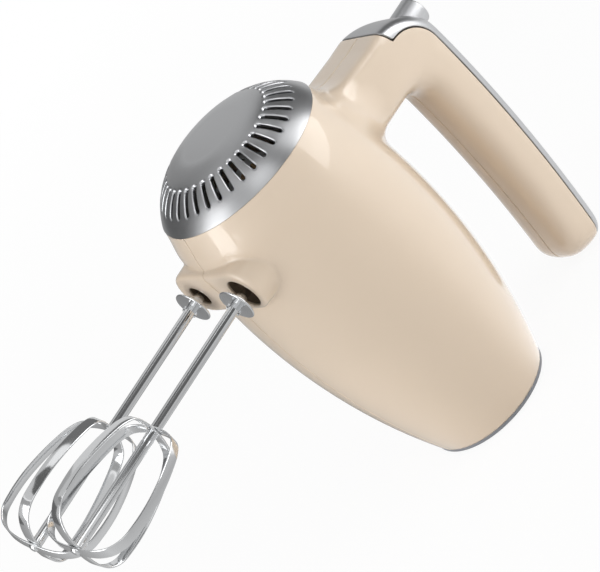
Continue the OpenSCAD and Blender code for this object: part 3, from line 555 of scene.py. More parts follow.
def settle(p, f, *levels, rounds=4):
    """Moves points onto the surface f = 0, and where levels are given, along it onto each level line."""
    p = p.copy()
    for _ in range(rounds):
        g = gradient(f, p)
        g2 = np.maximum((g * g).sum(1), 1e-9)
        p -= g * (f(p) / g2)[:, None]
        n = g / np.sqrt(g2)[:, None]
        for level in levels:
            h = gradient(level, p, 0.05)
            h -= n * (h * n).sum(1)[:, None]
            h2 = np.maximum((h * h).sum(1), 0.02)
            step = np.clip(level(p) / h2, -1.5, 1.5)
            p -= h * step[:, None]
    return p


def surface_net(f, lowest, highest, step):
    """A net of triangles on f = 0, one point for each cell that the surface crosses."""
    shape = [int(math.ceil((highest[i] - lowest[i]) / step)) + 1 for i in range(3)]
    axes = [lowest[i] + step * np.arange(shape[i]) for i in range(3)]
    values = np.empty(shape)
    y, z = np.meshgrid(axes[1], axes[2], indexing="ij")
    for i, x in enumerate(axes[0]):
        values[i] = f(np.stack([np.full_like(y, x), y, z], -1))
    cells = np.array(shape) - 1
    total = np.zeros((4, int(np.prod(cells))))
    quads = []
    for axis in range(3):
        others = [a for a in range(3) if a != axis]
        a = [slice(None)] * 3
        b = [slice(None)] * 3
        a[axis], b[axis] = slice(0, -1), slice(1, None)
        va, vb = values[tuple(a)], values[tuple(b)]
        hit = np.argwhere((va < 0) != (vb < 0))
        va, vb = va[tuple(hit.T)], vb[tuple(hit.T)]
        at = hit.astype(float)
        at[:, axis] += va / (va - vb)
        ring = []
        for du, dv in ((-1, -1), (0, -1), (0, 0), (-1, 0)):
            cell = hit.copy()
            cell[:, others[0]] += du
            cell[:, others[1]] += dv
            good = np.all((cell >= 0) & (cell < cells), axis=1)
            flat = np.where(good, np.ravel_multi_index(np.clip(cell, 0, cells - 1).T, cells), -1)
            ring.append(flat)
            for i in range(3):
                total[i] += np.bincount(flat[good], at[good, i], minlength=total.shape[1])
            total[3] += np.bincount(flat[good], minlength=total.shape[1])
        ring = np.stack(ring, 1)
        whole = (ring >= 0).all(1)
        flip = (va < 0) if axis == 1 else (va >= 0)
        ring[flip] = ring[flip][:, ::-1]
        quads.append(ring[whole])
    used, quads = used_only(total[0], np.concatenate(quads))
    points = settle((total[:3, used] / total[3, used]).T * step + np.array(lowest), f)
    short = (np.linalg.norm(points[quads[:, 0]] - points[quads[:, 2]], axis=1)
             < np.linalg.norm(points[quads[:, 1]] - points[quads[:, 3]], axis=1))
    one = np.where(short[:, None], quads[:, [0, 1, 2]], quads[:, [0, 1, 3]])
    two = np.where(short[:, None], quads[:, [0, 2, 3]], quads[:, [1, 2, 3]])
    return points, np.concatenate([one, two])


def crossing(edges, g):
    """The edges on which a level changes sign, and how far along each of them it is 0."""
    cross = edges[g[edges[:, 0]] * g[edges[:, 1]] < 0]
    a, b = g[cross[:, 0]], g[cross[:, 1]]
    return cross, a / (a - b)


def corners_from(faces, first):
    """The three corners of each triangle, starting from the one that first names."""
    rows = np.arange(len(faces))
    return [faces[rows, (first + k) % 3] for k in range(3)]


FURTHEST_MOVE, FURTHEST_MADE = 0.8, 0.6       # how far a cut moves a point, and a new point off its edge
AWAY = 20.0                                   # a level that is far from any cut


class Patch:
    """A piece of skin that can be cut along level lines."""

    def __init__(self, points, faces, f, fixed=None):
        self.points, self.faces, self.f = points, faces, f
        self.fixed = np.zeros(len(points), bool) if fixed is None else fixed

    def copy(self):
        return Patch(self.points.copy(), self.faces.copy(), self.f, self.fixed.copy())

    def pin(self, corner):
        """Moves the nearest point onto a corner of a coming cut and fixes it there."""
        i = int(np.argmin(((self.points - np.array(corner)) ** 2).sum(1)))
        self.points[i] = corner
        self.fixed[i] = True

    def split(self, level, snap=0.2):
        """Puts edges along the line level = 0 and returns the level at each point."""
        points, faces, f = self.points, self.faces, self.f
        g = level(points)
        g[np.abs(g) < 1e-4] = 0.0
        edges = np.unique(np.sort(three_edges(faces), axis=1), axis=0)
        cross, t = crossing(edges, g)
        # points close to the line move onto it
        near = np.unique(np.concatenate([cross[t < snap, 0], cross[t > 1 - snap, 1]]))
        near = near[~self.fixed[near]]
        if len(near):
            moved = settle(points[near], f, level)
            good = np.linalg.norm(moved - points[near], axis=1) < FURTHEST_MOVE
            points[near[good]] = moved[good]
            g[near[good]] = 0.0
        cross, t = crossing(edges, g)
        if not len(cross):
            return g
        # the edges that still cross it get a point each
        t = t[:, None]
        start = points[cross[:, 0]] * (1 - t) + points[cross[:, 1]] * t
        made = settle(start, f, level)
        far = np.linalg.norm(made - start, axis=1) > FURTHEST_MADE
        made[far] = start[far]
        count = len(points)
        key = cross[:, 0].astype(np.int64) * count + cross[:, 1]
        order = np.argsort(key)
        key = key[order]

        def between(i, j):
            k = np.minimum(i, j).astype(np.int64) * count + np.maximum(i, j)
            return order[np.searchsorted(key, k)] + count

        s = np.sign(g[faces])
        plus, minus = (s > 0).sum(1), (s < 0).sum(1)
        whole = (plus == 0) | (minus == 0)
        out = [faces[whole]]
        cut, s = faces[~whole], s[~whole]
        # one corner on the line: the face falls in two
        one = (s == 0).any(1)
        a, b, c = corners_from(cut[one], np.argmax(s[one] == 0, axis=1))
        m = between(b, c)
        out += [np.stack([a, b, m], 1), np.stack([a, m, c], 1)]
        # one corner on one side and two on the other: it falls in three
        s = s[~one]
        odd = np.where((s > 0).sum(1) == 1, 1, -1)
        a, b, c = corners_from(cut[~one], np.argmax(s == odd[:, None], axis=1))
        m, n = between(a, b), between(a, c)
        out += [np.stack([a, m, n], 1), np.stack([m, b, c], 1), np.stack([m, c, n], 1)]
        self.points = np.concatenate([points, made])
        self.fixed = np.concatenate([self.fixed, np.zeros(len(made), bool)])
        self.faces = np.concatenate(out)
        return np.concatenate([g, np.zeros(len(made))])

    def keep(self, level, lip=0.35):
        """Keeps the part where level < 0, with a narrow band of faces along the cut."""
        g = self.split(level)
        self.faces = self.faces[(g[self.faces].max(1) <= 0) & (g[self.faces].min(1) < 0)]
        self.fixed |= g == 0
        if lip:
            g = self.split(lambda p: level(p) + lip)
            self.fixed |= g == 0
        return self

    def mirrored(self):
        """Adds the mirror image across y = 0, sharing the points that lie there."""
        on = np.abs(self.points[:, 1]) < 1e-4
        self.points[on, 1] = 0.0
        count = len(self.points)
        other = self.points * np.array([1, -1, 1])
        twin = np.where(on, np.arange(count), np.arange(count) + count)
        self.faces = np.concatenate([self.faces, twin[self.faces][:, ::-1]])
        self.points = np.concatenate([self.points, other])
        self.fixed = np.concatenate([self.fixed, self.fixed])
        return self

    def flipped(self):
        """The mirror image across y = 0."""
        points = self.points * np.array([1, -1, 1])
        return Patch(points, self.faces[:, ::-1].copy(), self.f, self.fixed.copy())

    def tidy(self):
        """Drops unused points and faces with two corners in one place."""
        faces = self.faces
        same = (faces[:, 0] == faces[:, 1]) | (faces[:, 1] == faces[:, 2]) | (faces[:, 2] == faces[:, 0])
        used, self.faces = used_only(self.points, faces[~same])
        self.points, self.fixed = self.points[used], self.fixed[used]
        return self

    def walled(self, wall, push):
        """Points, faces and normals of the skin with a wall behind it and its rims pushed in."""
        points = self.tidy().points
        n = skin_normals(self.f, points)
        border = open_edges(self.faces, len(points))
        rim = np.unique(border)
        outer = points.copy()
        outer[rim] -= n[rim] * push(points[rim])[:, None]
        normals = np.concatenate([n, np.zeros_like(n)])
        normals[rim] = 0
        return *with_back(outer, points - n * wall, self.faces, border), normals


# ------------------------------------------------------------------ materials


def group(name, inputs, outputs):
    """A shader node group with named sockets: (tree, input node, output node)."""
    tree = bpy.data.node_groups.new(name, "ShaderNodeTree")
    for label, kind, value in inputs:
        socket = tree.interface.new_socket(label, in_out="INPUT", socket_type=kind)
        if value is not None:
            socket.default_value = value
    for label, kind in outputs:
        tree.interface.new_socket(label, in_out="OUTPUT", socket_type=kind)
    return tree, tree.nodes.new("NodeGroupInput"), tree.nodes.new("NodeGroupOutput")


def feed(tree, socket, value):
    """Sets an input to a number, or links it to another node's output."""
    if isinstance(value, (int, float)):
        socket.default_value = value
    else:
        tree.links.new(value, socket)


def math_node(tree, kind, *values):
    node = tree.nodes.new("ShaderNodeMath")
    node.operation = kind
    for socket, value in zip(node.inputs, values):
        feed(tree, socket, value)
    return node.outputs[0]


def noise(tree, vector, scale, detail, roughness=0.5):
    node = tree.nodes.new("ShaderNodeTexNoise")
    node.inputs["Detail"].default_value = detail
    node.inputs["Roughness"].default_value = roughness
    tree.links.new(vector, node.inputs["Vector"])
    feed(tree, node.inputs["Scale"], scale)
    return node.outputs[0]


def low_to_high(tree, given, mask):
    """A value from the group's Low to its High by a mask."""
    span = math_node(tree, "SUBTRACT", given.outputs["High"], given.outputs["Low"])
    return math_node(tree, "ADD", given.outputs["Low"], math_node(tree, "MULTIPLY", span, mask))


def moulded_grain():
    """Fine grain of a moulded or blasted surface: a height, and a value that drifts slowly over the piece."""
    tree, given, out = group("moulded_grain", [
        ("Vector", "NodeSocketVector", None), ("Grain Scale", "NodeSocketFloat", 900.0),
        ("Drift Scale", "NodeSocketFloat", 14.0), ("Low", "NodeSocketFloat", 0.2),
        ("High", "NodeSocketFloat", 0.3)],
        [("Height", "NodeSocketFloat"), ("Value", "NodeSocketFloat"), ("Drift", "NodeSocketFloat")])
    fine = noise(tree, given.outputs["Vector"], given.outputs["Grain Scale"], 2.0)
    drift = noise(tree, given.outputs["Vector"], given.outputs["Drift Scale"], 3.0)
    both = math_node(tree, "ADD", math_node(tree, "MULTIPLY", drift, 0.7),
                     math_node(tree, "MULTIPLY", fine, 0.3))
    tree.links.new(fine, out.inputs["Height"])
    tree.links.new(low_to_high(tree, given, both), out.inputs["Value"])
    tree.links.new(drift, out.inputs["Drift"])
    return tree


STREAK_LENGTH = 0.0012                # how slowly a streak changes as it runs round


def turned_streaks():
    """Streaks that run round the z axis, as brushing or turning leaves them."""
    tree, given, out = group("turned_streaks", [
        ("Vector", "NodeSocketVector", None), ("Streak Scale", "NodeSocketFloat", 1400.0),
        ("Low", "NodeSocketFloat", 0.25), ("High", "NodeSocketFloat", 0.4)],
        [("Height", "NodeSocketFloat"), ("Value", "NodeSocketFloat")])
    parts = tree.nodes.new("ShaderNodeSeparateXYZ")
    tree.links.new(given.outputs["Vector"], parts.inputs[0])
    x, y, z = parts.outputs
    radius = math_node(tree, "SQRT", math_node(
        tree, "ADD", math_node(tree, "MULTIPLY", x, x), math_node(tree, "MULTIPLY", y, y)))
    turn = math_node(tree, "MULTIPLY", math_node(tree, "ARCTAN2", y, x), STREAK_LENGTH)
    rolled = tree.nodes.new("ShaderNodeCombineXYZ")
    for value, socket in zip((radius, z, turn), rolled.inputs):
        tree.links.new(value, socket)
    streak = noise(tree, rolled.outputs[0], given.outputs["Streak Scale"], 3.0, 0.6)
    tree.links.new(streak, out.inputs["Height"])
    tree.links.new(low_to_high(tree, given, streak), out.inputs["Value"])
    return tree


def tinted():
    """A colour made a touch lighter and darker by a mask."""
    tree, given, out = group("tinted", [
        ("Color", "NodeSocketColor", (0.5, 0.5, 0.5, 1)), ("Mask", "NodeSocketFloat", 0.5),
        ("Amount", "NodeSocketFloat", 0.05)], [("Color", "NodeSocketColor")])
    node = tree.nodes.new("ShaderNodeHueSaturation")
    value = math_node(tree, "ADD", 1.0, math_node(
        tree, "MULTIPLY", math_node(tree, "SUBTRACT", given.outputs["Mask"], 0.5), given.outputs["Amount"]))
    tree.links.new(value, node.inputs["Value"])
    tree.links.new(given.outputs["Color"], node.inputs["Color"])
    tree.links.new(node.outputs[0], out.inputs["Color"])
    return tree


EFFECTS = {}


def effect(made):
    """The shader group that a function makes, made once and shared."""
    if made not in EFFECTS:
        EFFECTS[made] = made()
    return EFFECTS[made]


BUMP_DEPTH = 0.0002


def finish_material(name, colour_value, rough, metallic=0.0, pattern=moulded_grain, scale=900.0, bump=0.02,
                    tint=0.05, coat=0.0, edge=None):
    """One Principled material with its colour, roughness and bump driven by a shared effect."""
    made = bpy.data.materials.new(name)
    made.use_nodes = True
    tree = made.node_tree
    shader = tree.nodes["Principled BSDF"]
    for key, value in (("Metallic", metallic), ("Coat Weight", coat), ("Coat Roughness", 0.03)):
        shader.inputs[key].default_value = value
    use = tree.nodes.new("ShaderNodeGroup")
    use.node_tree = effect(pattern)
    tree.links.new(tree.nodes.new("ShaderNodeTexCoord").outputs["Object"], use.inputs["Vector"])
    use.inputs["Low"].default_value, use.inputs["High"].default_value = rough
    use.inputs["Grain Scale" if pattern is moulded_grain else "Streak Scale"].default_value = scale
    tree.links.new(use.outputs["Value"], shader.inputs["Roughness"])
    shade = tree.nodes.new("ShaderNodeGroup")
    shade.node_tree = effect(tinted)
    shade.inputs["Color"].default_value = (*colour_value, 1)
    shade.inputs["Amount"].default_value = tint
    tree.links.new(use.outputs["Drift" if pattern is moulded_grain else "Height"], shade.inputs["Mask"])
    colour_out = shade.outputs[0]
    # the edge attribute lightens the colour: a painted highlight along rounded edges
    if edge:
        bevel_and_highlight = tree.nodes.new("ShaderNodeAttribute")
        bevel_and_highlight.attribute_name = "edge"
        both = tree.nodes.new("ShaderNodeMix")
        both.data_type = "RGBA"
        both.inputs["B"].default_value = (*edge, 1)
        tree.links.new(bevel_and_highlight.outputs["Fac"], both.inputs["Factor"])
        tree.links.new(colour_out, both.inputs["A"])
        colour_out = both.outputs["Result"]
    tree.links.new(colour_out, shader.inputs["Base Color"])
    raised = tree.nodes.new("ShaderNodeBump")
    raised.inputs["Strength"].default_value = bump
    raised.inputs["Distance"].default_value = BUMP_DEPTH
    tree.links.new(use.outputs["Height"], raised.inputs["Height"])
    tree.links.new(raised.outputs[0], shader.inputs["Normal"])
    return made


METAL = {"metallic": 1.0}
TURNED = {"metallic": 1.0, "pattern": turned_streaks}

# Finishes: the material's name, its colour or which of the panel's colours it takes, the lowest and highest
# roughness, and what else differs from the plain moulded finish
FINISHES = {
    "cream": ("glossy_cream", "cream", (0.3, 0.4), dict(scale=1500, bump=0.01, tint=0.02, coat=1.0)),
    # the cap's lighter edge colour is a painted highlight along the slots' rounded edges
    "silver_cap": ("satin_silver_turned", "silver", (0.26, 0.38),
                   dict(TURNED, scale=1600, bump=0.05, tint=0.10, edge=(0.66, 0.67, 0.69))),
    "silver": ("satin_silver", "silver", (0.3, 0.4), dict(METAL, scale=2200, bump=0.02, tint=0.04)),
    "chrome": ("polished_chrome", "chrome", (0.08, 0.14), dict(METAL, scale=600, bump=0.004, tint=0.03)),
    # painted shade: the socket walls get a dark brown finish in place of the shade deep in the sockets
    "liner": ("socket_liner", "liner", (0.4, 0.55), dict(scale=900, bump=0.03, tint=0.1)),
    "heel": ("soft_grey_pad", "heel", (0.5, 0.65), dict(scale=1100, bump=0.15, tint=0.08)),
    "nylon": ("milky_nylon", "nylon", (0.35, 0.5), dict(scale=900, bump=0.05, tint=0.04)),
    "black": ("black_plastic", "black", (0.35, 0.5), dict(scale=1300, bump=0.1, tint=0.2)),
    "steel": ("plain_steel", "steel", (0.22, 0.36), dict(METAL, scale=1500, bump=0.03, tint=0.08)),
    "bronze": ("sintered_bronze", "bronze", (0.4, 0.55), dict(METAL, scale=1900, bump=0.12, tint=0.15)),
    "copper": ("wound_copper", "copper", (0.28, 0.4), dict(TURNED, scale=2500, bump=0.4, tint=0.4)),
    "lamination": ("stacked_laminations", (0.33, 0.34, 0.36), (0.4, 0.55),
                   dict(TURNED, scale=1900, bump=0.3, tint=0.3)),
    "carbon": ("pressed_carbon", (0.05, 0.05, 0.055), (0.5, 0.65), dict(scale=2000, bump=0.15, tint=0.2)),
    "board": ("green_board", "board", (0.3, 0.45), dict(scale=1200, bump=0.05, tint=0.1)),
    "cast": ("cast_alloy", (0.5, 0.5, 0.5), (0.4, 0.6), dict(METAL, scale=700, bump=0.12, tint=0.1)),
}


def panel_colour(key):
    return tuple(getattr(bpy.context.scene.mixer_colours, key))


def material(key):
    name, tone, rough, more = FINISHES[key]
    if name not in bpy.data.materials:
        finish_material(name, panel_colour(tone) if isinstance(tone, str) else tone, rough, **more)
    return bpy.data.materials[name]


# ------------------------------------------------------------------ the shell's pieces

SKIN_BOX = (-62, -60, -4.0), (126, 2.6, 190.5)          # corners of the space that holds the near half
BODY_SIDE, NOSE_SIDE, BACK_SIDE = 60, -40, 100          # x where the body ends, the nose and the back start
SCREWS = [(-26, 30), (26, 30), (-36, 178), (36, 178), (72, 141.6), (98, 24)]    # x and z of each
SCREW_HEAD = (12.0, 14.2, 3.0)        # where a head starts and ends across the housing, and its radius
WELL_R, WELL_WALL = 3.4, 1.2
SOCKETS = {"left": 9.0, "right": 6.2}                   # radius of each socket's mouth
GLAND_HOLE_R = 6.5
WELL_SIDE, GLAND_SIDE = 8, 20         # y beyond which the far side's holes are cut
ARC_DROP = 1.9                        # how far the trim's arc is set below the corner's
CUSP_IN, FRONT_IN = 0.5, 4.8          # how far inside the arc's centre the cusp and the front edge stand
RIM_DROP, MOUTH_DROP = 0.32, 0.5      # how far a rim is pushed in, and the rim of a socket's mouth
FAR_SIDE, HALVINGS = (8.0, 62.0), 40  # y between which the far skin is looked for, and number of steps


def core_line(s):
    """Edge between shell and trim in the side view."""
    reach = s.corner_x + s.corner_reach
    cx, cz = reach - s.trim_depth - s.trim_arc, s.corner_z - ARC_DROP
    cusp = (cx - CUSP_IN, cz + s.trim_arc)
    arc = [(cx + s.trim_arc * math.cos(a), cz + s.trim_arc * math.sin(a)) for a in np.linspace(1.55, 0.0, 48)]
    edge_r = s.back_arc - s.trim_depth
    back = [(reach - s.back_arc + math.sqrt(edge_r ** 2 - (s.corner_z - z) ** 2), z)
            for z in np.linspace(cz - 4, LINE_END, LINE_STEPS)]
    front = cx - FRONT_IN
    return [(front, 230), (front, s.column_top + 8), cusp] + arc + back, cusp


def skin_y(skin, x, z):
    """How far across the skin lies on the far side of the middle plane, at points of the side view."""
    lo, hi = [np.full(len(x), y) for y in FAR_SIDE]
    for _ in range(HALVINGS):
        m = (lo + hi) / 2
        inside = skin(np.stack([x, m, z], 1)) < 0
        lo, hi = np.where(inside, m, lo), np.where(inside, hi, m)
    return lo


SKIN_KEPT = {}


def skin_patch():
    """A copy of the near half's skin, with its distance, the trim's edge and that edge's corner."""
    if not SKIN_KEPT:
        s = sizes("mixer_shell")
        skin = Skin(s)
        line, cusp = core_line(s)
        patch = Patch(*surface_net(skin, *SKIN_BOX, s.mesh_step), skin)
        g = patch.split(lambda p: p[:, 1])
        patch.faces = patch.faces[(g[patch.faces].max(1) <= 0)]
        patch.fixed |= g == 0
        patch.tidy()
        core = Outline(line[::-1], *TRIM_VIEW, 0.5)
        side = (cusp[0], -float(skin_y(skin, *np.array(cusp)[:, None])[0]), cusp[1])
        SKIN_KEPT.update(patch=patch, skin=skin, core=core, corner=side)
    return SKIN_KEPT["patch"].copy(), SKIN_KEPT["skin"], SKIN_KEPT["core"], SKIN_KEPT["corner"]


def circle_level(a, b, u, v, r, where):
    """Below zero outside a circle in the plane of axes a and b, where the test says so."""
    def level(p):
        return np.where(where(p), r - np.hypot(p[:, a] - u, p[:, b] - v), -AWAY)
    return level


def ring(start, end_points, inner, outer):
    """A tube along y whose far end follows a list of heights, one for each step round it."""
    count = len(end_points)
    flat_end = [start] * count
    rings = ((inner, flat_end), (outer, flat_end), (outer, end_points), (inner, end_points))
    points = [(r * math.cos(TURN * k / count), h, r * math.sin(TURN * k / count))
              for r, heights in rings for k, h in enumerate(heights)]
    return outward(np.array(points, float), bands(len(rings), count, True))


class MIXER_OT_shell(bpy.types.Operator):
    """The two glossy halves of the housing with column, grip and nose"""

    bl_idname = "mixer.shell"
    bl_label = "Housing halves"

    def execute(self, context):
        s = sizes("mixer_shell")
        base, skin, core, corner = skin_patch()
        base.keep(lambda p: p[:, 2] - RIM_Z)
        base.keep(lambda p: np.where(p[:, 0] < BODY_SIDE, HEEL_TOP - p[:, 2], -AWAY), lip=0)
        base.keep(lambda p: p[:, 1] + s.seam)
        base.pin(corner)
        base.keep(lambda p: np.where(p[:, 0] < TRIM_START, -AWAY, core(p[:, 0], p[:, 2])))
        for side, patch in (("left", base), ("right", base.flipped())):
            y, mouth = BEATER_Y[side], SOCKETS[side]
            patch.keep(circle_level(1, 2, y, BEATER_Z, mouth, lambda p: p[:, 0] < NOSE_SIDE), lip=0.6)
            if side == "right":
                for x, z in SCREWS:
                    patch.keep(circle_level(0, 2, x, z, WELL_R, lambda p: p[:, 1] > WELL_SIDE))
                x, z = middle("cord_gland", 0), middle("cord_gland", 2)
                patch.keep(circle_level(0, 2, x, z, GLAND_HOLE_R, lambda p: p[:, 1] > GLAND_SIDE))

            def push(p):
                near = np.hypot(p[:, 1] - y, p[:, 2] - BEATER_Z) < mouth + 0.5
                rim = np.where((p[:, 0] < NOSE_SIDE) & near, MOUTH_DROP, RIM_DROP)
                return np.where(p[:, 2] < HEEL_TOP + 1, 0.0, rim)

            points, faces, normals = patch.walled(s.wall, push)
            parts = [(points, faces.tolist())]
            # the socket's wall is a separate dark piece, painted shade for the socket's depth
            new_object(side + "_socket_liner", *self.liner(s, y, mouth), material("liner"), "housing", None,
                       (side + "_housing",), sharp=35)
            if side == "right":
                parts += self.wells(skin)
            total = join(*parts)
            normals = np.concatenate([normals, np.zeros((len(total[0]) - len(normals), 3))])
            new_object("housing_" + side, *total, material("cream"), "housing", "shell",
                       (side + "_housing",), normals, 35)
        return {"FINISHED"}

    def liner(self, s, y, mouth):
        """The stepped wall inside a beater's socket, coloured dark brown as painted shade for the socket's
        depth.
        """
        face, bush = -s.nose_x, BUSH_START + 2
        return lathe([(mouth + 0.1, face + s.wall - 0.3), (mouth + 1.2, face + s.wall), (mouth + 1.2, bush),
                      (mouth - 2.6, bush), (mouth - 2.6, face + 14), (mouth - 1.1, face + 13),
                      (mouth - 1.1, face + 6.5), (mouth, face + 5.5)], 72, (0, y, BEATER_Z))

    def wells(self, skin):
        """The tubes that the housing screws lie in, each cut to the skin."""
        a = np.arange(40) * TURN / 40
        for x, z in SCREWS:
            edge = skin_y(skin, x + WELL_R * np.cos(a), z + WELL_R * np.sin(a))
            points, faces = ring(SCREW_HEAD[0] - 1, edge - 0.5, WELL_R, WELL_R + WELL_WALL)
            yield points + np.array([x, 0, z]), faces


TRIM_GAP, TRIM_WALL, TRIM_DROP = 0.8, 1.5, 0.3          # gap to the shell, thickness, and how far rims go in
KNOB_GAP = 0.25
WINDOW_ENDS = 3.2, 7.0                # from the slider's ends to the ends of the window it shows in
WINDOW_HALF, WINDOW_CORNER = 2.7, 1.0


class MIXER_OT_trim(bpy.types.Operator):
    """The satin silver trim along the back of the handle"""

    bl_idname = "mixer.trim"
    bl_label = "Handle trim"

    def execute(self, context):
        patch, _, core, corner = skin_patch()
        patch.pin(corner)
        patch.keep(lambda p: np.where(p[:, 0] < TRIM_START, AWAY, TRIM_GAP - core(p[:, 0], p[:, 2])), lip=0.5)
        patch.mirrored()
        hole = KNOB_R + KNOB_GAP
        patch.keep(circle_level(1, 2, 0, KNOB_Z, hole, lambda p: p[:, 0] > BACK_SIDE), lip=0.4)
        z0, z1 = low("speed_slider", 2) + WINDOW_ENDS[0], high("speed_slider", 2) + WINDOW_ENDS[1]

        def window(p):
            """Below zero outside the slider's window, a rectangle with round corners."""
            qy = np.abs(p[:, 1]) - WINDOW_HALF + WINDOW_CORNER
            qz = np.abs(p[:, 2] - (z0 + z1) / 2) - (z1 - z0) / 2 + WINDOW_CORNER
            outside = np.hypot(np.maximum(qy, 0), np.maximum(qz, 0))
            d = outside + np.minimum(np.maximum(qy, qz), 0) - WINDOW_CORNER
            return np.where(p[:, 0] > BACK_SIDE, -d, -AWAY)

        patch.keep(window, lip=0.3)
        points, faces, normals = patch.walled(TRIM_WALL, lambda p: np.full(len(p), TRIM_DROP))
        new_object("trim", points, faces.tolist(), material("silver"), "housing", "silver", ("handle_trim",),
                   normals, 35)
        return {"FINISHED"}


# ------------------------------------------------------------------ vent cap


CROWN_R = 400.0                       # radius of the cap's nearly flat middle
SECTOR_STEPS = 62, 9, 12              # steps up the shoulder, over the middle and across a sector
INNER_ROUNDING = 2.2                      # how far past the slots' inner ends their edges are rounder and their painted highlight wider


def cap_sector(c):
    """One slotted sector of the cap, with its two straight sides left open, and how much painted highlight
    each point gets along the slots' rounded edges.
    """
    arc_z = CAP_TOP - (CROWN_R - math.sqrt(CROWN_R ** 2 - c.flat_r ** 2)) - c.arc_r

    def dome(p):
        rho = np.hypot(p[:, 0], p[:, 1])
        shoulder = np.hypot(rho - c.flat_r, p[:, 2] - arc_z) - c.arc_r
        top = np.sqrt(rho ** 2 + (p[:, 2] - CAP_TOP + CROWN_R) ** 2) - CROWN_R
        return np.where(rho < c.flat_r, top, shoulder)

    def slot(p):
        half = c.slot_w / 2
        along = np.hypot(p[:, 0], p[:, 1]) - (c.slot_in + c.slot_out) / 2
        straight = (c.slot_out - c.slot_in) / 2 - half
        return half - np.hypot(np.maximum(np.abs(along) - straight, 0), p[:, 1])

    up, over, across = SECTOR_STEPS
    start = math.asin((RIM_Z + 0.1 - arc_z) / c.arc_r)
    rows = [(c.flat_r + c.arc_r * math.cos(a), arc_z + c.arc_r * math.sin(a))
            for a in np.linspace(start, math.pi / 2, up)]
    rows += [(r, CAP_TOP - CROWN_R + math.sqrt(CROWN_R ** 2 - r ** 2))
             for r in np.linspace(c.flat_r - 1.5, 1.5, over)]
    half = math.pi / c.slots
    turns = [-half + 2 * half * k / across for k in range(across + 1)]
    points = [(r * math.cos(a), r * math.sin(a), z) for r, z in rows for a in turns] + [(0, 0, CAP_TOP)]
    faces = []
    for i in range(len(rows) - 1):
        for k in range(across):
            a, b = i * (across + 1) + k, (i + 1) * (across + 1) + k
            faces += [(a, a + 1, b + 1), (a, b + 1, b)]
    tip = len(points) - 1
    faces += [(tip - across - 1 + k, tip - across + k, tip) for k in range(across)]
    points = np.array(points, float)
    side = np.abs(np.abs(np.arctan2(points[:, 1], points[:, 0])) - half) < 1e-5
    patch = Patch(points, np.array(faces, int), dome, side | (points[:, 2] < RIM_Z + 0.2))
    patch.keep(slot, lip=0.3)
    for lip in (0.7, 1.2):
        g = patch.split(lambda p: slot(p) + lip)
        patch.fixed |= g == 0
    points, faces = patch.tidy().points, patch.faces
    n = skin_normals(dome, points, 0.05)
    border = open_edges(faces, len(points))
    rho = np.hypot(points[:, 0], points[:, 1])
    on_side = (np.abs(np.abs(np.arctan2(points[:, 1], points[:, 0])) - half) < 1e-5) | (rho < 1e-6)
    border = border[~(on_side[border[:, 0]] & on_side[border[:, 1]])]
    # the slots' edges sink in, further and wider at their inner ends
    inward = ease((c.slot_in + INNER_ROUNDING - rho) / 2)
    bevel_and_highlight = np.clip(1 - np.maximum(-slot(points), 0) / (c.bevel + 0.55 * inward), 0, 1)
    outer = points - n * ((0.5 + 0.4 * inward) * bevel_and_highlight ** 2)[:, None]
    # the same mask, made stronger, paints a highlight along the slots' rounded edges
    return *with_back(outer, points - n * c.wall, faces, border), np.concatenate(
        [np.minimum(1, 1.6 * bevel_and_highlight), np.zeros(len(points))])


def geometry_tree(name, **extra):
    """A Geometry Nodes tree with Geometry, Material and extra inputs: (tree, node, link, given)."""
    tree = bpy.data.node_groups.new(name, "GeometryNodeTree")
    face = tree.interface
    face.new_socket("Geometry", in_out="INPUT", socket_type="NodeSocketGeometry")
    for label, (kind, value) in extra.items():
        face.new_socket(label.replace("_", " "), in_out="INPUT", socket_type=kind).default_value = value
    face.new_socket("Material", in_out="INPUT", socket_type="NodeSocketMaterial")
    face.new_socket("Geometry", in_out="OUTPUT", socket_type="NodeSocketGeometry")
    return tree, tree.nodes.new, tree.links.new, tree.nodes.new("NodeGroupInput")


def copies_at(node, link, given, points, rotation=None):
    """The tree's input mesh as one instance at each point, made real."""
    unit = node("GeometryNodeGeometryToInstance")
    link(given.outputs["Geometry"], unit.inputs[0])
    spread = node("GeometryNodeInstanceOnPoints")
    link(points, spread.inputs["Points"])
    link(unit.outputs[0], spread.inputs["Instance"])
    if rotation:
        link(rotation, spread.inputs["Rotation"])
    real = node("GeometryNodeRealizeInstances")
    link(spread.outputs[0], real.inputs[0])
    return real.outputs[0]


def end_tree(node, link, given, geometry):
    """Paints the mesh with the tree's material and puts it out."""
    paint = node("GeometryNodeSetMaterial")
    link(geometry, paint.inputs["Geometry"])
    link(given.outputs["Material"], paint.inputs["Material"])
    link(paint.outputs[0], node("NodeGroupOutput").inputs[0])


def repeat_round(name, count, merge=0.00002):
    """Geometry Nodes: the input mesh repeated round the z axis, joined and given its material."""
    tree, node, link, given = geometry_tree(name, Copies=("NodeSocketInt", count),
                                            Merge_Distance=("NodeSocketFloat", merge))
    line = node("GeometryNodeMeshLine")
    line.inputs["Offset"].default_value = (0, 0, 0)
    link(given.outputs["Copies"], line.inputs["Count"])
    step = math_node(tree, "DIVIDE", TURN, given.outputs["Copies"])
    turn = math_node(tree, "MULTIPLY", node("GeometryNodeInputIndex").outputs[0], step)
    angles = node("ShaderNodeCombineXYZ")
    link(turn, angles.inputs["Z"])
    weld = node("GeometryNodeMergeByDistance")
    link(copies_at(node, link, given, line.outputs[0], angles.outputs[0]), weld.inputs["Geometry"])
    link(given.outputs["Merge Distance"], weld.inputs["Distance"])
    end_tree(node, link, given, weld.outputs[0])
    return tree


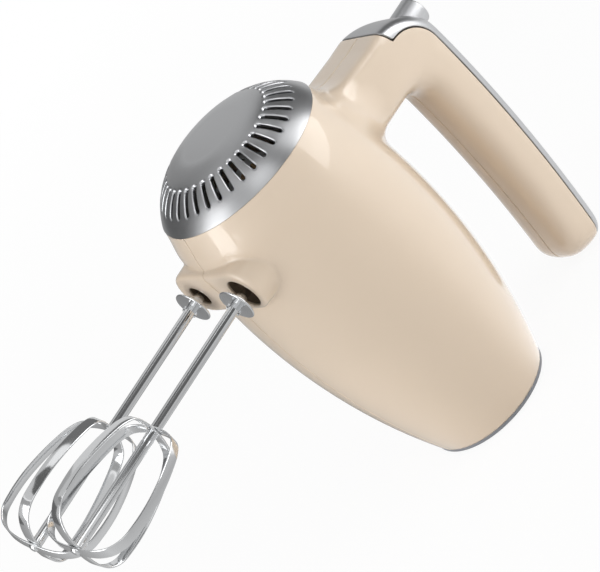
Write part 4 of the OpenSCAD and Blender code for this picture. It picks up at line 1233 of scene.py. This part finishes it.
def at_places(name, places):
    """Geometry Nodes: the input mesh at each of some places in the side view."""
    tree, node, link, given = geometry_tree(name)
    joined = node("GeometryNodeJoinGeometry")
    for x, z in places:
        spot = node("GeometryNodePoints")
        spot.inputs["Position"].default_value = (x * MM, 0, z * MM)
        link(spot.outputs[0], joined.inputs[0])
    end_tree(node, link, given, copies_at(node, link, given, joined.outputs[0]))
    return tree


def from_nodes(name, mesh, tree, values, sharp=35.0):
    """Runs a Geometry Nodes tree on a mesh and returns the result as a plain mesh object."""
    carrier = bpy.data.objects.new(name + "_unit", mesh)
    bpy.context.scene.collection.objects.link(carrier)
    modifier = carrier.modifiers.new("nodes", "NODES")
    modifier.node_group = tree
    for item in tree.interface.items_tree:
        if item.item_type == "SOCKET" and item.in_out == "INPUT" and item.name in values:
            modifier[item.identifier] = values[item.name]
    bpy.context.view_layer.update()
    held = bpy.context.evaluated_depsgraph_get()
    made = bpy.data.meshes.new_from_object(carrier.evaluated_get(held))
    carrier.modifiers.remove(modifier)
    bpy.data.objects.remove(carrier)
    made.name = name
    smooth(made, sharp)
    return bpy.data.objects.new(name, made)


class MIXER_OT_cap(bpy.types.Operator):
    """The slotted silver cap over the motor"""

    bl_idname = "mixer.cap"
    bl_label = "Vent cap"

    def execute(self, context):
        c = sizes("mixer_cap")
        points, faces, bevel_and_highlight = cap_sector(c)
        unit = plain_mesh("cap_sector", points, faces)
        # the edge attribute carries the painted highlight along the slots' rounded edges
        unit.attributes.new("edge", "FLOAT", "POINT").data.foreach_set("value", bevel_and_highlight)
        tree = repeat_round("slots_round_the_cap", c.slots)
        cap = from_nodes("cap", unit, tree, {"Copies": c.slots, "Material": material("silver_cap")})
        place(cap, "housing", "silver", ("vent_cap",))
        return {"FINISHED"}


# ------------------------------------------------------------------ turned and pressed pieces


class MIXER_OT_fittings(bpy.types.Operator):
    """Heel pad, eject button, speed slider, cord gland and housing screws"""

    bl_idname = "mixer.fittings"
    bl_label = "Fittings"

    def execute(self, context):
        self.heel()
        self.knob()
        self.slider()
        self.gland()
        self.screws()
        return {"FINISHED"}

    def heel(self):
        r, top = high("heel_pad", 0), HEEL_TOP
        profile = rounded([(0, 0, 0), (r - 5, 0, 4), (r - 3.5, 0.7, 0.6), (r, 0.7, 1.2), (r, top - 0.3, 0.4),
                           (r - 1.4, top, 0.2), (0, top, 0)], 0.5, 6)
        new_object("heel", *lathe(profile, 128, axis="z"), material("heel"), "housing", "heel", ("heel_pad",))

    def knob(self):
        start, end, r = KNOB_IN, KNOB_END, KNOB_R
        profile = rounded([(0, start, 0), (r - 0.6, start, 0.3), (r, start + 1, 0.3), (r, end - 0.5, 1.3),
                           (r - 3, end - 0.05, 3), (0, end, 0)], 0.5, 8)
        new_object("eject_knob", *lathe(profile, 96, (0, 0, KNOB_Z)), material("silver"), "ejector", "silver",
                   ("eject_button",))

    def slider(self):
        """A plate that runs in the trim, with three grip bars outside and a stem inside."""
        node, stem_length, bar_step, bar_half, bar_r = "speed_slider", 17, 2.6, 4.2, 0.75
        width, depth = [high(node, axis) - low(node, axis) for axis in (1, 2)]
        mid, face = middle(node, 2), high(node, 0) - 1.5
        parts = []
        for (points, faces), x in ((pad(width, depth, 1.2, 3.0, 0.5), face - 0.9),
                                   (pad(5, 6, stem_length, 1.0, 0.3), face - 0.7 - stem_length)):
            parts.append((points[:, AXES["x"]] + np.array([x, 0, mid]), faces))
        profile = rounded([(0, -bar_half, 0), (bar_r, -bar_half, 0.5), (bar_r, bar_half, 0.5),
                           (0, bar_half, 0)], 0.4, 4)
        bar, faces = lathe(profile, 24, axis="y")
        for k, rise in ((-1, 0.1), (0, 0.35), (1, 0.1)):
            parts.append((bar + np.array([face + 0.3 + rise, 0, mid + bar_step * k]), faces))
        new_object("speed_nub", *join(*parts), material("silver"), "slider", "silver", (node,))

    def gland(self):
        start, end = low("cord_gland", 1), high("cord_gland", 1)
        bore, neck, flange = 3.3, 6.2, 8
        profile = rounded([(bore, start, 0.2), (flange, start, 0.3), (flange, start + 3, 0.3),
                           (neck, start + 3, 0.2), (neck, end - 1.6, 0.4), (neck - 0.6, end - 1.6, 0.3),
                           (neck - 1, end, 0.8), (bore, end, 0.6)], 0.3, 4)
        centre = (middle("cord_gland", 0), 0, middle("cord_gland", 2))
        new_object("cord_grommet", *lathe(profile, 64, centre, "y"), material("black"), "housing",
                   "black_plastic", ("cord_gland",))

    def screws(self):
        start, end, r = SCREW_HEAD
        shank, tip = 1.5, start - 20
        profile = rounded([(0, tip, 0), (1.0, tip, 0), (shank, tip + 1.5, 0.2), (shank, start, 0),
                           (r, start, 0.3), (r, end - 0.5, 1.0), (0.9, end, 0.2), (0.55, end - 0.9, 0.2),
                           (0, end - 0.9, 0)], 0.3, 5)
        unit = plain_mesh("screw", *lathe(profile, 32, axis="y"))
        tree = at_places("screws_at_bosses", SCREWS)
        made = from_nodes("screws", unit, tree, {"Material": material("steel")})
        place(made, "housing", "steel", ("housing_screws",))


# ------------------------------------------------------------------ beaters

STRIP_EDGE = 0.42                     # corner radius of the strip as a part of its thickness
PHASE_SUM = 45                        # the beaters' angles add up to this, so their loops pass each other
EAR_TURN = {"left": 60, "right": 50}  # angle of the ears under each collar

# Half outline of a blade loop: distance from the tip, and radius as a part of the largest one
LOOP = [(0.3, 0.326), (1.8, 0.58), (5, 0.797), (11, 0.953), (19, 1.0), (30, 1.0), (42, 0.935), (52, 0.841),
        (60, 0.732), (65.6, 0.58), (68.2, 0.326)]


def sideways(line):
    """Unit vectors across a closed line, all pointing out."""
    ahead = np.roll(line, -1, 0) - np.roll(line, 1, 0)
    out = np.stack([-ahead[:, 1], ahead[:, 0]], 1) / np.linalg.norm(ahead, axis=1)[:, None]
    return out * np.sign(((line - line.mean(0)) * out).sum(1))[:, None]


def loop_line(b, inset, steps=144):
    """A blade loop as a closed line of (place along the axis, radius)."""
    half = [(TIP_X + x, b.loop_r * r) for x, r in LOOP]
    points = [(TIP_X, 0.0), *half, (LOOP_TOP, 0.0), *((x, -r) for x, r in reversed(half))]
    line = closed_curve(np.array(points), 16)
    line = line - sideways(line) * inset
    step = np.linalg.norm(np.roll(line, -1, 0) - line, axis=1)
    s = np.concatenate([[0], np.cumsum(step)])
    closed = np.concatenate([line, line[:1]])
    at = np.linspace(0, s[-1], steps, endpoint=False)
    return np.stack([np.interp(at, s, closed[:, 0]), np.interp(at, s, closed[:, 1])], 1)


def turned_in_place(points, turn, x, y):
    """Points turned about a beater's axis and moved onto it."""
    c, s = math.cos(turn), math.sin(turn)
    turned = [points[:, 0], points[:, 1] * c - points[:, 2] * s, points[:, 1] * s + points[:, 2] * c]
    return np.stack(turned, 1) + np.array([x, y, BEATER_Z])


def blade(b, inset, turn, y):
    """One blade: the strip's section carried round its loop."""
    line = loop_line(b, inset)
    section = rectangle(b.strip_w, b.strip_t, b.strip_t * STRIP_EDGE, 3)
    points = [(x + out_x * (up - b.strip_t / 2), r + out_r * (up - b.strip_t / 2), across)
              for (x, r), (out_x, out_r) in zip(line, sideways(line)) for across, up in section]
    points = turned_in_place(np.array(points, float), turn, 0, y)
    return outward(points, bands(len(line), len(section), True))


class MIXER_OT_beaters(bpy.types.Operator):
    """The two chromed beaters"""

    bl_idname = "mixer.beaters"
    bl_label = "Beaters"

    def execute(self, context):
        b = sizes("mixer_beaters")
        phases = {"left": b.left_phase, "right": math.radians(PHASE_SUM) - b.left_phase}
        for side, phase in phases.items():
            y = BEATER_Y[side]
            self.piece(side, "outer_loop", "outer_blade", blade(b, 0.0, phase, y))
            self.piece(side, "inner_loop", "inner_blade", blade(b, b.strip_t + 0.1, phase + math.pi / 2, y))
            self.piece(side, "stem", "beater_tube", self.stem(side, b.tube_r, y))
            self.piece(side, "collar", "beater_collar", self.collar(b.tube_r, y))
        return {"FINISHED"}

    def piece(self, side, name, node, shape):
        new_object(f"{side}_{name}", *shape, material("chrome"), side + "_beater", "beater_chrome",
                   (f"{side}_{node}",), sharp=35)

    def stem(self, side, r, y):
        """The tube with its rivet at the tip, its ears under the collar and its flat drive tongue."""
        axis, start, end = (0, y, BEATER_Z), TIP_X + 2.1, SHANK_END
        tube = rounded([(0, start, 0), (r, start, 0.3), (r, end - 1, 0.3), (r - 0.8, end, 0.2), (0, end, 0)],
                       0.3, 4)
        rivet = rounded([(0, TIP_X - 1.1, 0), (1.6, TIP_X - 1.1, 0.7), (2.5, TIP_X - 0.25, 0.3),
                         (2.5, TIP_X, 0.05), (1.5, TIP_X, 0), (1.5, TIP_X + 3, 0), (0, TIP_X + 3, 0)], 0.3, 4)
        ears, ear_faces = pad(2.8, 2 * r + 2.0, 1.0, 0.9, 0.3)
        ears = turned_in_place(ears - np.array([0, 0, 0.5]), math.radians(EAR_TURN[side]), COLLAR[0] - 2.4, y)
        tongue, tongue_faces = pad(4, 8.4, 1.4, 0.6, 0.25)
        tongue = tongue - np.array([0, 0, 0.7]) + np.array([low(side + "_socket_bush", 0) + 1, y, BEATER_Z])
        return join(lathe(tube, 72, axis), lathe(rivet, 72, axis), (ears, ear_faces), (tongue, tongue_faces))

    def collar(self, tube_r, y):
        start, end, r = *COLLAR, COLLAR_R
        return lathe(rounded([(tube_r, start + 0.2, 0.1), (r - 1.6, start + 0.2, 0.5), (r, start, 0.5),
                              (r, end, 0.5), (tube_r + 1.2, end, 0.4), (tube_r, end, 0.1)], 0.3, 5),
                     96, (0, y, BEATER_Z))


# ------------------------------------------------------------------ inner pieces, mostly the frame's own

INNER = {
    "cast": ["gearbox_frame"],
    "bronze": ["front_bearing", "main_bearing", "rear_bearing", "left_socket_bush", "right_socket_bush",
               "brush_holders"],
    "lamination": ["stator_core", "armature_core"],
    "copper": ["field_coils", "armature_windings", "commutator"],
    "black": ["motor_bridge", "speed_switch", "cooling_fan"],
    "steel": ["motor_screws", "motor_shaft", "drive_worm"],
    "carbon": ["carbon_brushes"],
    "board": ["circuit_board"],
    "nylon": ["left_worm_wheel", "right_worm_wheel", "eject_rod", "eject_yoke"],
}


SPRING_WIRE, SPRING_TURNS = 0.5, 6    # radius of the wire, and number of coils
COIL_STEPS, WIRE_SIDES = 28, 10


class MIXER_OT_inner(bpy.types.Operator):
    """The return spring, and materials of the motor, gears and ejector inside the housing"""

    bl_idname = "mixer.inner"
    bl_label = "Inner pieces"

    def execute(self, context):
        for finish, nodes in INNER.items():
            for node in nodes:
                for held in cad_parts[node].material_slots:
                    held.material = material(finish)
        self.spring()
        return {"FINISHED"}

    def spring(self):
        """The eject spring, coiled along the button's axis."""
        wire, start, end = SPRING_WIRE, low("eject_spring", 0), high("eject_spring", 0)
        coil = half_width("eject_spring", 2) - wire
        points, count = [], SPRING_TURNS * COIL_STEPS
        for i in range(count + 1):
            a = TURN * i / COIL_STEPS
            x = start + wire + (end - start - 2 * wire) * i / count
            for k in range(WIRE_SIDES):
                b = TURN * k / WIRE_SIDES
                r = coil + wire * math.cos(b)
                points.append((x + wire * math.sin(b), r * math.cos(a), KNOB_Z + r * math.sin(a)))
        faces = bands(count + 1, WIRE_SIDES) + end_faces(count + 1, WIRE_SIDES)
        obj = new_object("return_spring", *outward(np.array(points, float), faces), material("steel"),
                         "housing", "steel", ("eject_spring",), sharp=50)
        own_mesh(obj)


# ------------------------------------------------------------------ floor, lamps and camera

SOFTBOX_DISTANCE, SOFTBOX_FOOT = 1.2, 0.01              # from the axis, and over the floor, in metres
FLATS_CENTRE_Z = 120                  # height of the middle of the curved flats
FLOOR_HALF, FLOOR_Z = 6000, -0.05     # the floor is a hair below the heel
FLOOR_FADE = 0.35, 0.9                # the floor's shadow fades out between these distances, in metres
FLOOR_WHITE = 0.92                    # how much of the floor near the mixer is plain white, without shadow
WORLD_LIGHT = 0.55                    # brightness of the white world as a light
CAMERA_AT = (-0.54620, -1.21644, 0.71253)               # in metres
CAMERA_TURN = (56.7224, 42.0734, -46.9014)              # in degrees about X, Y and Z


def lamp(name, width, height, energy, place_at, aim, reflected):
    """A lit panel at a place in metres that faces a point."""
    data = bpy.data.lights.new(name, "AREA")
    data.shape, data.size, data.size_y = "RECTANGLE", width, height
    data.energy = energy
    obj = bpy.data.objects.new(name, data)
    obj.location = place_at
    obj.rotation_euler = (Vector(aim) - obj.location).to_track_quat("-Z", "Y").to_euler()
    obj.visible_glossy = reflected
    bpy.context.scene.collection.objects.link(obj)


def softbox(name, azimuth, width, height, radiance, reflected):
    """A lit panel that stands upright just over the floor and faces the mixer's axis."""
    a = math.radians(azimuth)
    z = SOFTBOX_FOOT + height / 2
    place_at = (SOFTBOX_DISTANCE * math.cos(a), SOFTBOX_DISTANCE * math.sin(a), z)
    lamp(name, width, height, radiance * math.pi * width * height, place_at, (0, 0, z), reflected)


def flat(name, azimuths, elevations, value, radius=2600, step=6):
    """A curved studio flat that only reflections see, between two azimuths and two elevations."""
    turns, rises = [np.radians(np.linspace(a, b, max(2, int(abs(b - a) / step) + 1)))
                    for a, b in (azimuths, elevations)]
    points = [(radius * math.cos(r) * math.cos(t), radius * math.cos(r) * math.sin(t),
               FLATS_CENTRE_Z + radius * math.sin(r)) for r in rises for t in turns]
    wide = len(turns)
    faces = [(i * wide + k, i * wide + k + 1, (i + 1) * wide + k + 1, (i + 1) * wide + k)
             for i in range(len(rises) - 1) for k in range(wide - 1)]
    made, tree, out = bare_material(name)
    glow = tree.nodes.new("ShaderNodeEmission")
    glow.inputs["Strength"].default_value = value
    tree.links.new(glow.outputs[0], out.inputs[0])
    obj = staged(name, plain_mesh(name, points, faces), made)
    obj.visible_camera = obj.visible_diffuse = obj.visible_shadow = obj.visible_transmission = False


def bare_material(name):
    """A material with nothing but its output: (material, tree, output)."""
    made = bpy.data.materials.new(name)
    made.use_nodes = True
    made.node_tree.nodes.clear()
    return made, made.node_tree, made.node_tree.nodes.new("ShaderNodeOutputMaterial")


def staged(name, mesh, made):
    """A part of the stage with one material."""
    mesh.materials.append(made)
    obj = bpy.data.objects.new(name, mesh)
    bpy.context.scene.collection.objects.link(obj)
    return obj


# Share of white that reflections see on the floor, by azimuth
FLOOR_GLOSS = [(-180, 0.68), (-114, 0.5), (-75, 0.6), (-45, 1.25), (-15, 1.2), (30, 0.95), (66, 0.6),
              (114, 0.26), (180, 0.68)]

# Curved flats round the stage: name, azimuths, elevations, brightness
FLATS = [
    ("front", (-168, -85), (-3, 42), 0.7),
    ("front_top", (-125, -85), (42, 66), 1.6),
    ("front_top_left", (-168, -125), (42, 66), 0.7),
    ("front_right", (-85, -55), (2, 48), 0.13),
    ("front_right_top", (-85, -55), (48, 70), 0.2),
    ("horizon", (-85, 30), (-3, 2), 0.6),
    ("right", (-55, -15), (2, 52), 1.5),
    ("right_top", (-45, -15), (52, 70), 0.3),
    ("far_right", (-15, 44), (2, 55), 0.18),
    ("back", (44, 70), (-3, 55), 0.72),
    ("back_left", (70, 88), (-3, 55), 0.42),
    ("back_top", (30, 110), (55, 72), 0.6),
    ("far_left", (88, 140), (-3, 40), 0.15),
    ("far_left_top", (88, 140), (40, 55), 0.4),
    ("far_left_high", (110, 140), (55, 66), 0.3),
    ("left_low", (140, 192), (-3, 12), 0.5),
    ("left_edge", (140, 156), (12, 48), 0.6),
    ("left", (156, 190), (12, 52), 2.4),
    ("left_top", (140, 192), (48, 66), 0.4),
    ("zenith", (-110, 60), (70, 90), 0.135),
    ("zenith_left", (60, 250), (70, 90), 0.65),
]


class MIXER_OT_stage(bpy.types.Operator):
    """White floor, softboxes, studio flats and the camera"""

    bl_idname = "mixer.stage"
    bl_label = "Stage"

    def execute(self, context):
        context.scene.view_settings.view_transform = "Standard"
        self.floor()
        self.world()
        softbox("softbox_left", 168, 0.9, 0.85, 3.5, False)
        softbox("softbox_right", -36, 0.95, 0.85, 2.4, True)
        lamp("fill", 1.2, 1.2, 4, (0.25, -1.35, 0.9), (0, 0, 0.09), False)
        for name, azimuths, elevations, value in FLATS:
            flat("flat_" + name, azimuths, elevations, value)
        flat("window_card", (162, 182), (-8, 28), 4.0, 750)
        self.camera()
        return {"FINISHED"}

    def camera(self):
        data = bpy.data.cameras.new("camera")
        data.lens, data.sensor_width = 180, 36
        data.clip_start, data.clip_end = 0.01, 20
        camera = bpy.data.objects.new("camera", data)
        camera.location = CAMERA_AT
        camera.rotation_euler = Euler([math.radians(v) for v in CAMERA_TURN], "XYZ")
        bpy.context.scene.collection.objects.link(camera)
        bpy.context.scene.camera = camera

    def floor(self):
        """White to the camera, with a faint shadow that fades out well before the edge."""
        made, tree, out = bare_material("white_floor")
        node, link = tree.nodes.new, tree.links.new
        plain = node("ShaderNodeBsdfDiffuse")
        plain.inputs["Color"].default_value = (*panel_colour("floor"), 1)
        place_on = node("ShaderNodeTexCoord").outputs["Object"]
        far_off = node("ShaderNodeVectorMath")
        far_off.operation = "LENGTH"
        link(place_on, far_off.inputs[0])
        edge = node("ShaderNodeMapRange")
        edge.inputs["From Min"].default_value, edge.inputs["From Max"].default_value = FLOOR_FADE
        edge.inputs["To Min"].default_value = FLOOR_WHITE
        link(far_off.outputs["Value"], edge.inputs["Value"])
        turn = node("ShaderNodeTexGradient")
        turn.gradient_type = "RADIAL"
        link(place_on, turn.inputs["Vector"])
        around = node("ShaderNodeValToRGB")
        stops = around.color_ramp.elements
        while len(stops) < len(FLOOR_GLOSS):
            stops.new(0.5)
        for stop, (azimuth, value) in zip(stops, FLOOR_GLOSS):
            stop.position = azimuth / 360 + 0.5
            stop.color = (value, value, value, 1)
        link(turn.outputs["Fac"], around.inputs["Fac"])
        rays = node("ShaderNodeLightPath").outputs
        # the camera sees white apart from the shadow, reflections see a share of white
        seen = math_node(tree, "MAXIMUM", math_node(tree, "MULTIPLY", rays["Is Camera Ray"], edge.outputs[0]),
                         rays["Is Glossy Ray"])
        less = math_node(tree, "MULTIPLY", rays["Is Glossy Ray"],
                         math_node(tree, "SUBTRACT", 1.0, around.outputs["Color"]))
        glow = node("ShaderNodeEmission")
        link(math_node(tree, "SUBTRACT", 1.0, less), glow.inputs["Strength"])
        blend = node("ShaderNodeMixShader")
        for value, socket in zip((seen, plain.outputs[0], glow.outputs[0]), blend.inputs):
            link(value, socket)
        link(blend.outputs[0], out.inputs[0])
        h, z = FLOOR_HALF, FLOOR_Z
        corners = [(-h, -h, z), (h, -h, z), (h, h, z), (-h, h, z)]
        staged("floor", plain_mesh("floor", corners, [(0, 1, 2, 3)]), made)

    def world(self):
        """Plain white to the camera and to reflections, and weaker as a light."""
        world = bpy.data.worlds.new("studio")
        world.use_nodes = True
        tree = world.node_tree
        back = tree.nodes["Background"]
        rays = tree.nodes.new("ShaderNodeLightPath").outputs
        seen = math_node(tree, "MAXIMUM", rays["Is Camera Ray"], rays["Is Glossy Ray"])
        tree.links.new(math_node(tree, "MAXIMUM", seen, WORLD_LIGHT), back.inputs["Strength"])
        back.inputs["Color"].default_value = (1, 1, 1, 1)
        bpy.context.scene.world = world


# ------------------------------------------------------------------ panel and registration


class MIXER_PT_panel(bpy.types.Panel):
    bl_idname = "MIXER_PT_panel"
    bl_label = "Hand mixer"
    bl_space_type = "VIEW_3D"
    bl_region_type = "UI"
    bl_category = "Mixer"

    def draw(self, context):
        column = self.layout.column()
        for operator in OPERATORS:
            column.operator(operator.bl_idname)
        for key in GROUPS:
            box = self.layout.box()
            held = getattr(context.scene, key)
            for prop in own_properties(held):
                box.prop(held, prop)


GROUPS = {"mixer_shell": MIXER_PG_shell, "mixer_cap": MIXER_PG_cap, "mixer_beaters": MIXER_PG_beaters,
          "mixer_colours": MIXER_PG_colours}
OPERATORS = [MIXER_OT_stage, MIXER_OT_shell, MIXER_OT_trim, MIXER_OT_cap, MIXER_OT_fittings, MIXER_OT_beaters,
             MIXER_OT_inner]


def register():
    for made in [*GROUPS.values(), *OPERATORS, MIXER_PT_panel]:
        bpy.utils.register_class(made)
    for key, made in GROUPS.items():
        setattr(bpy.types.Scene, key, bpy.props.PointerProperty(type=made))


def unregister():
    for key in GROUPS:
        delattr(bpy.types.Scene, key)
    for made in reversed([*GROUPS.values(), *OPERATORS, MIXER_PT_panel]):
        bpy.utils.unregister_class(made)


def main():
    register()
    for operator in OPERATORS:
        part, name = operator.bl_idname.split(".")
        getattr(getattr(bpy.ops, part), name)()


if __name__ == "__main__":
    main()
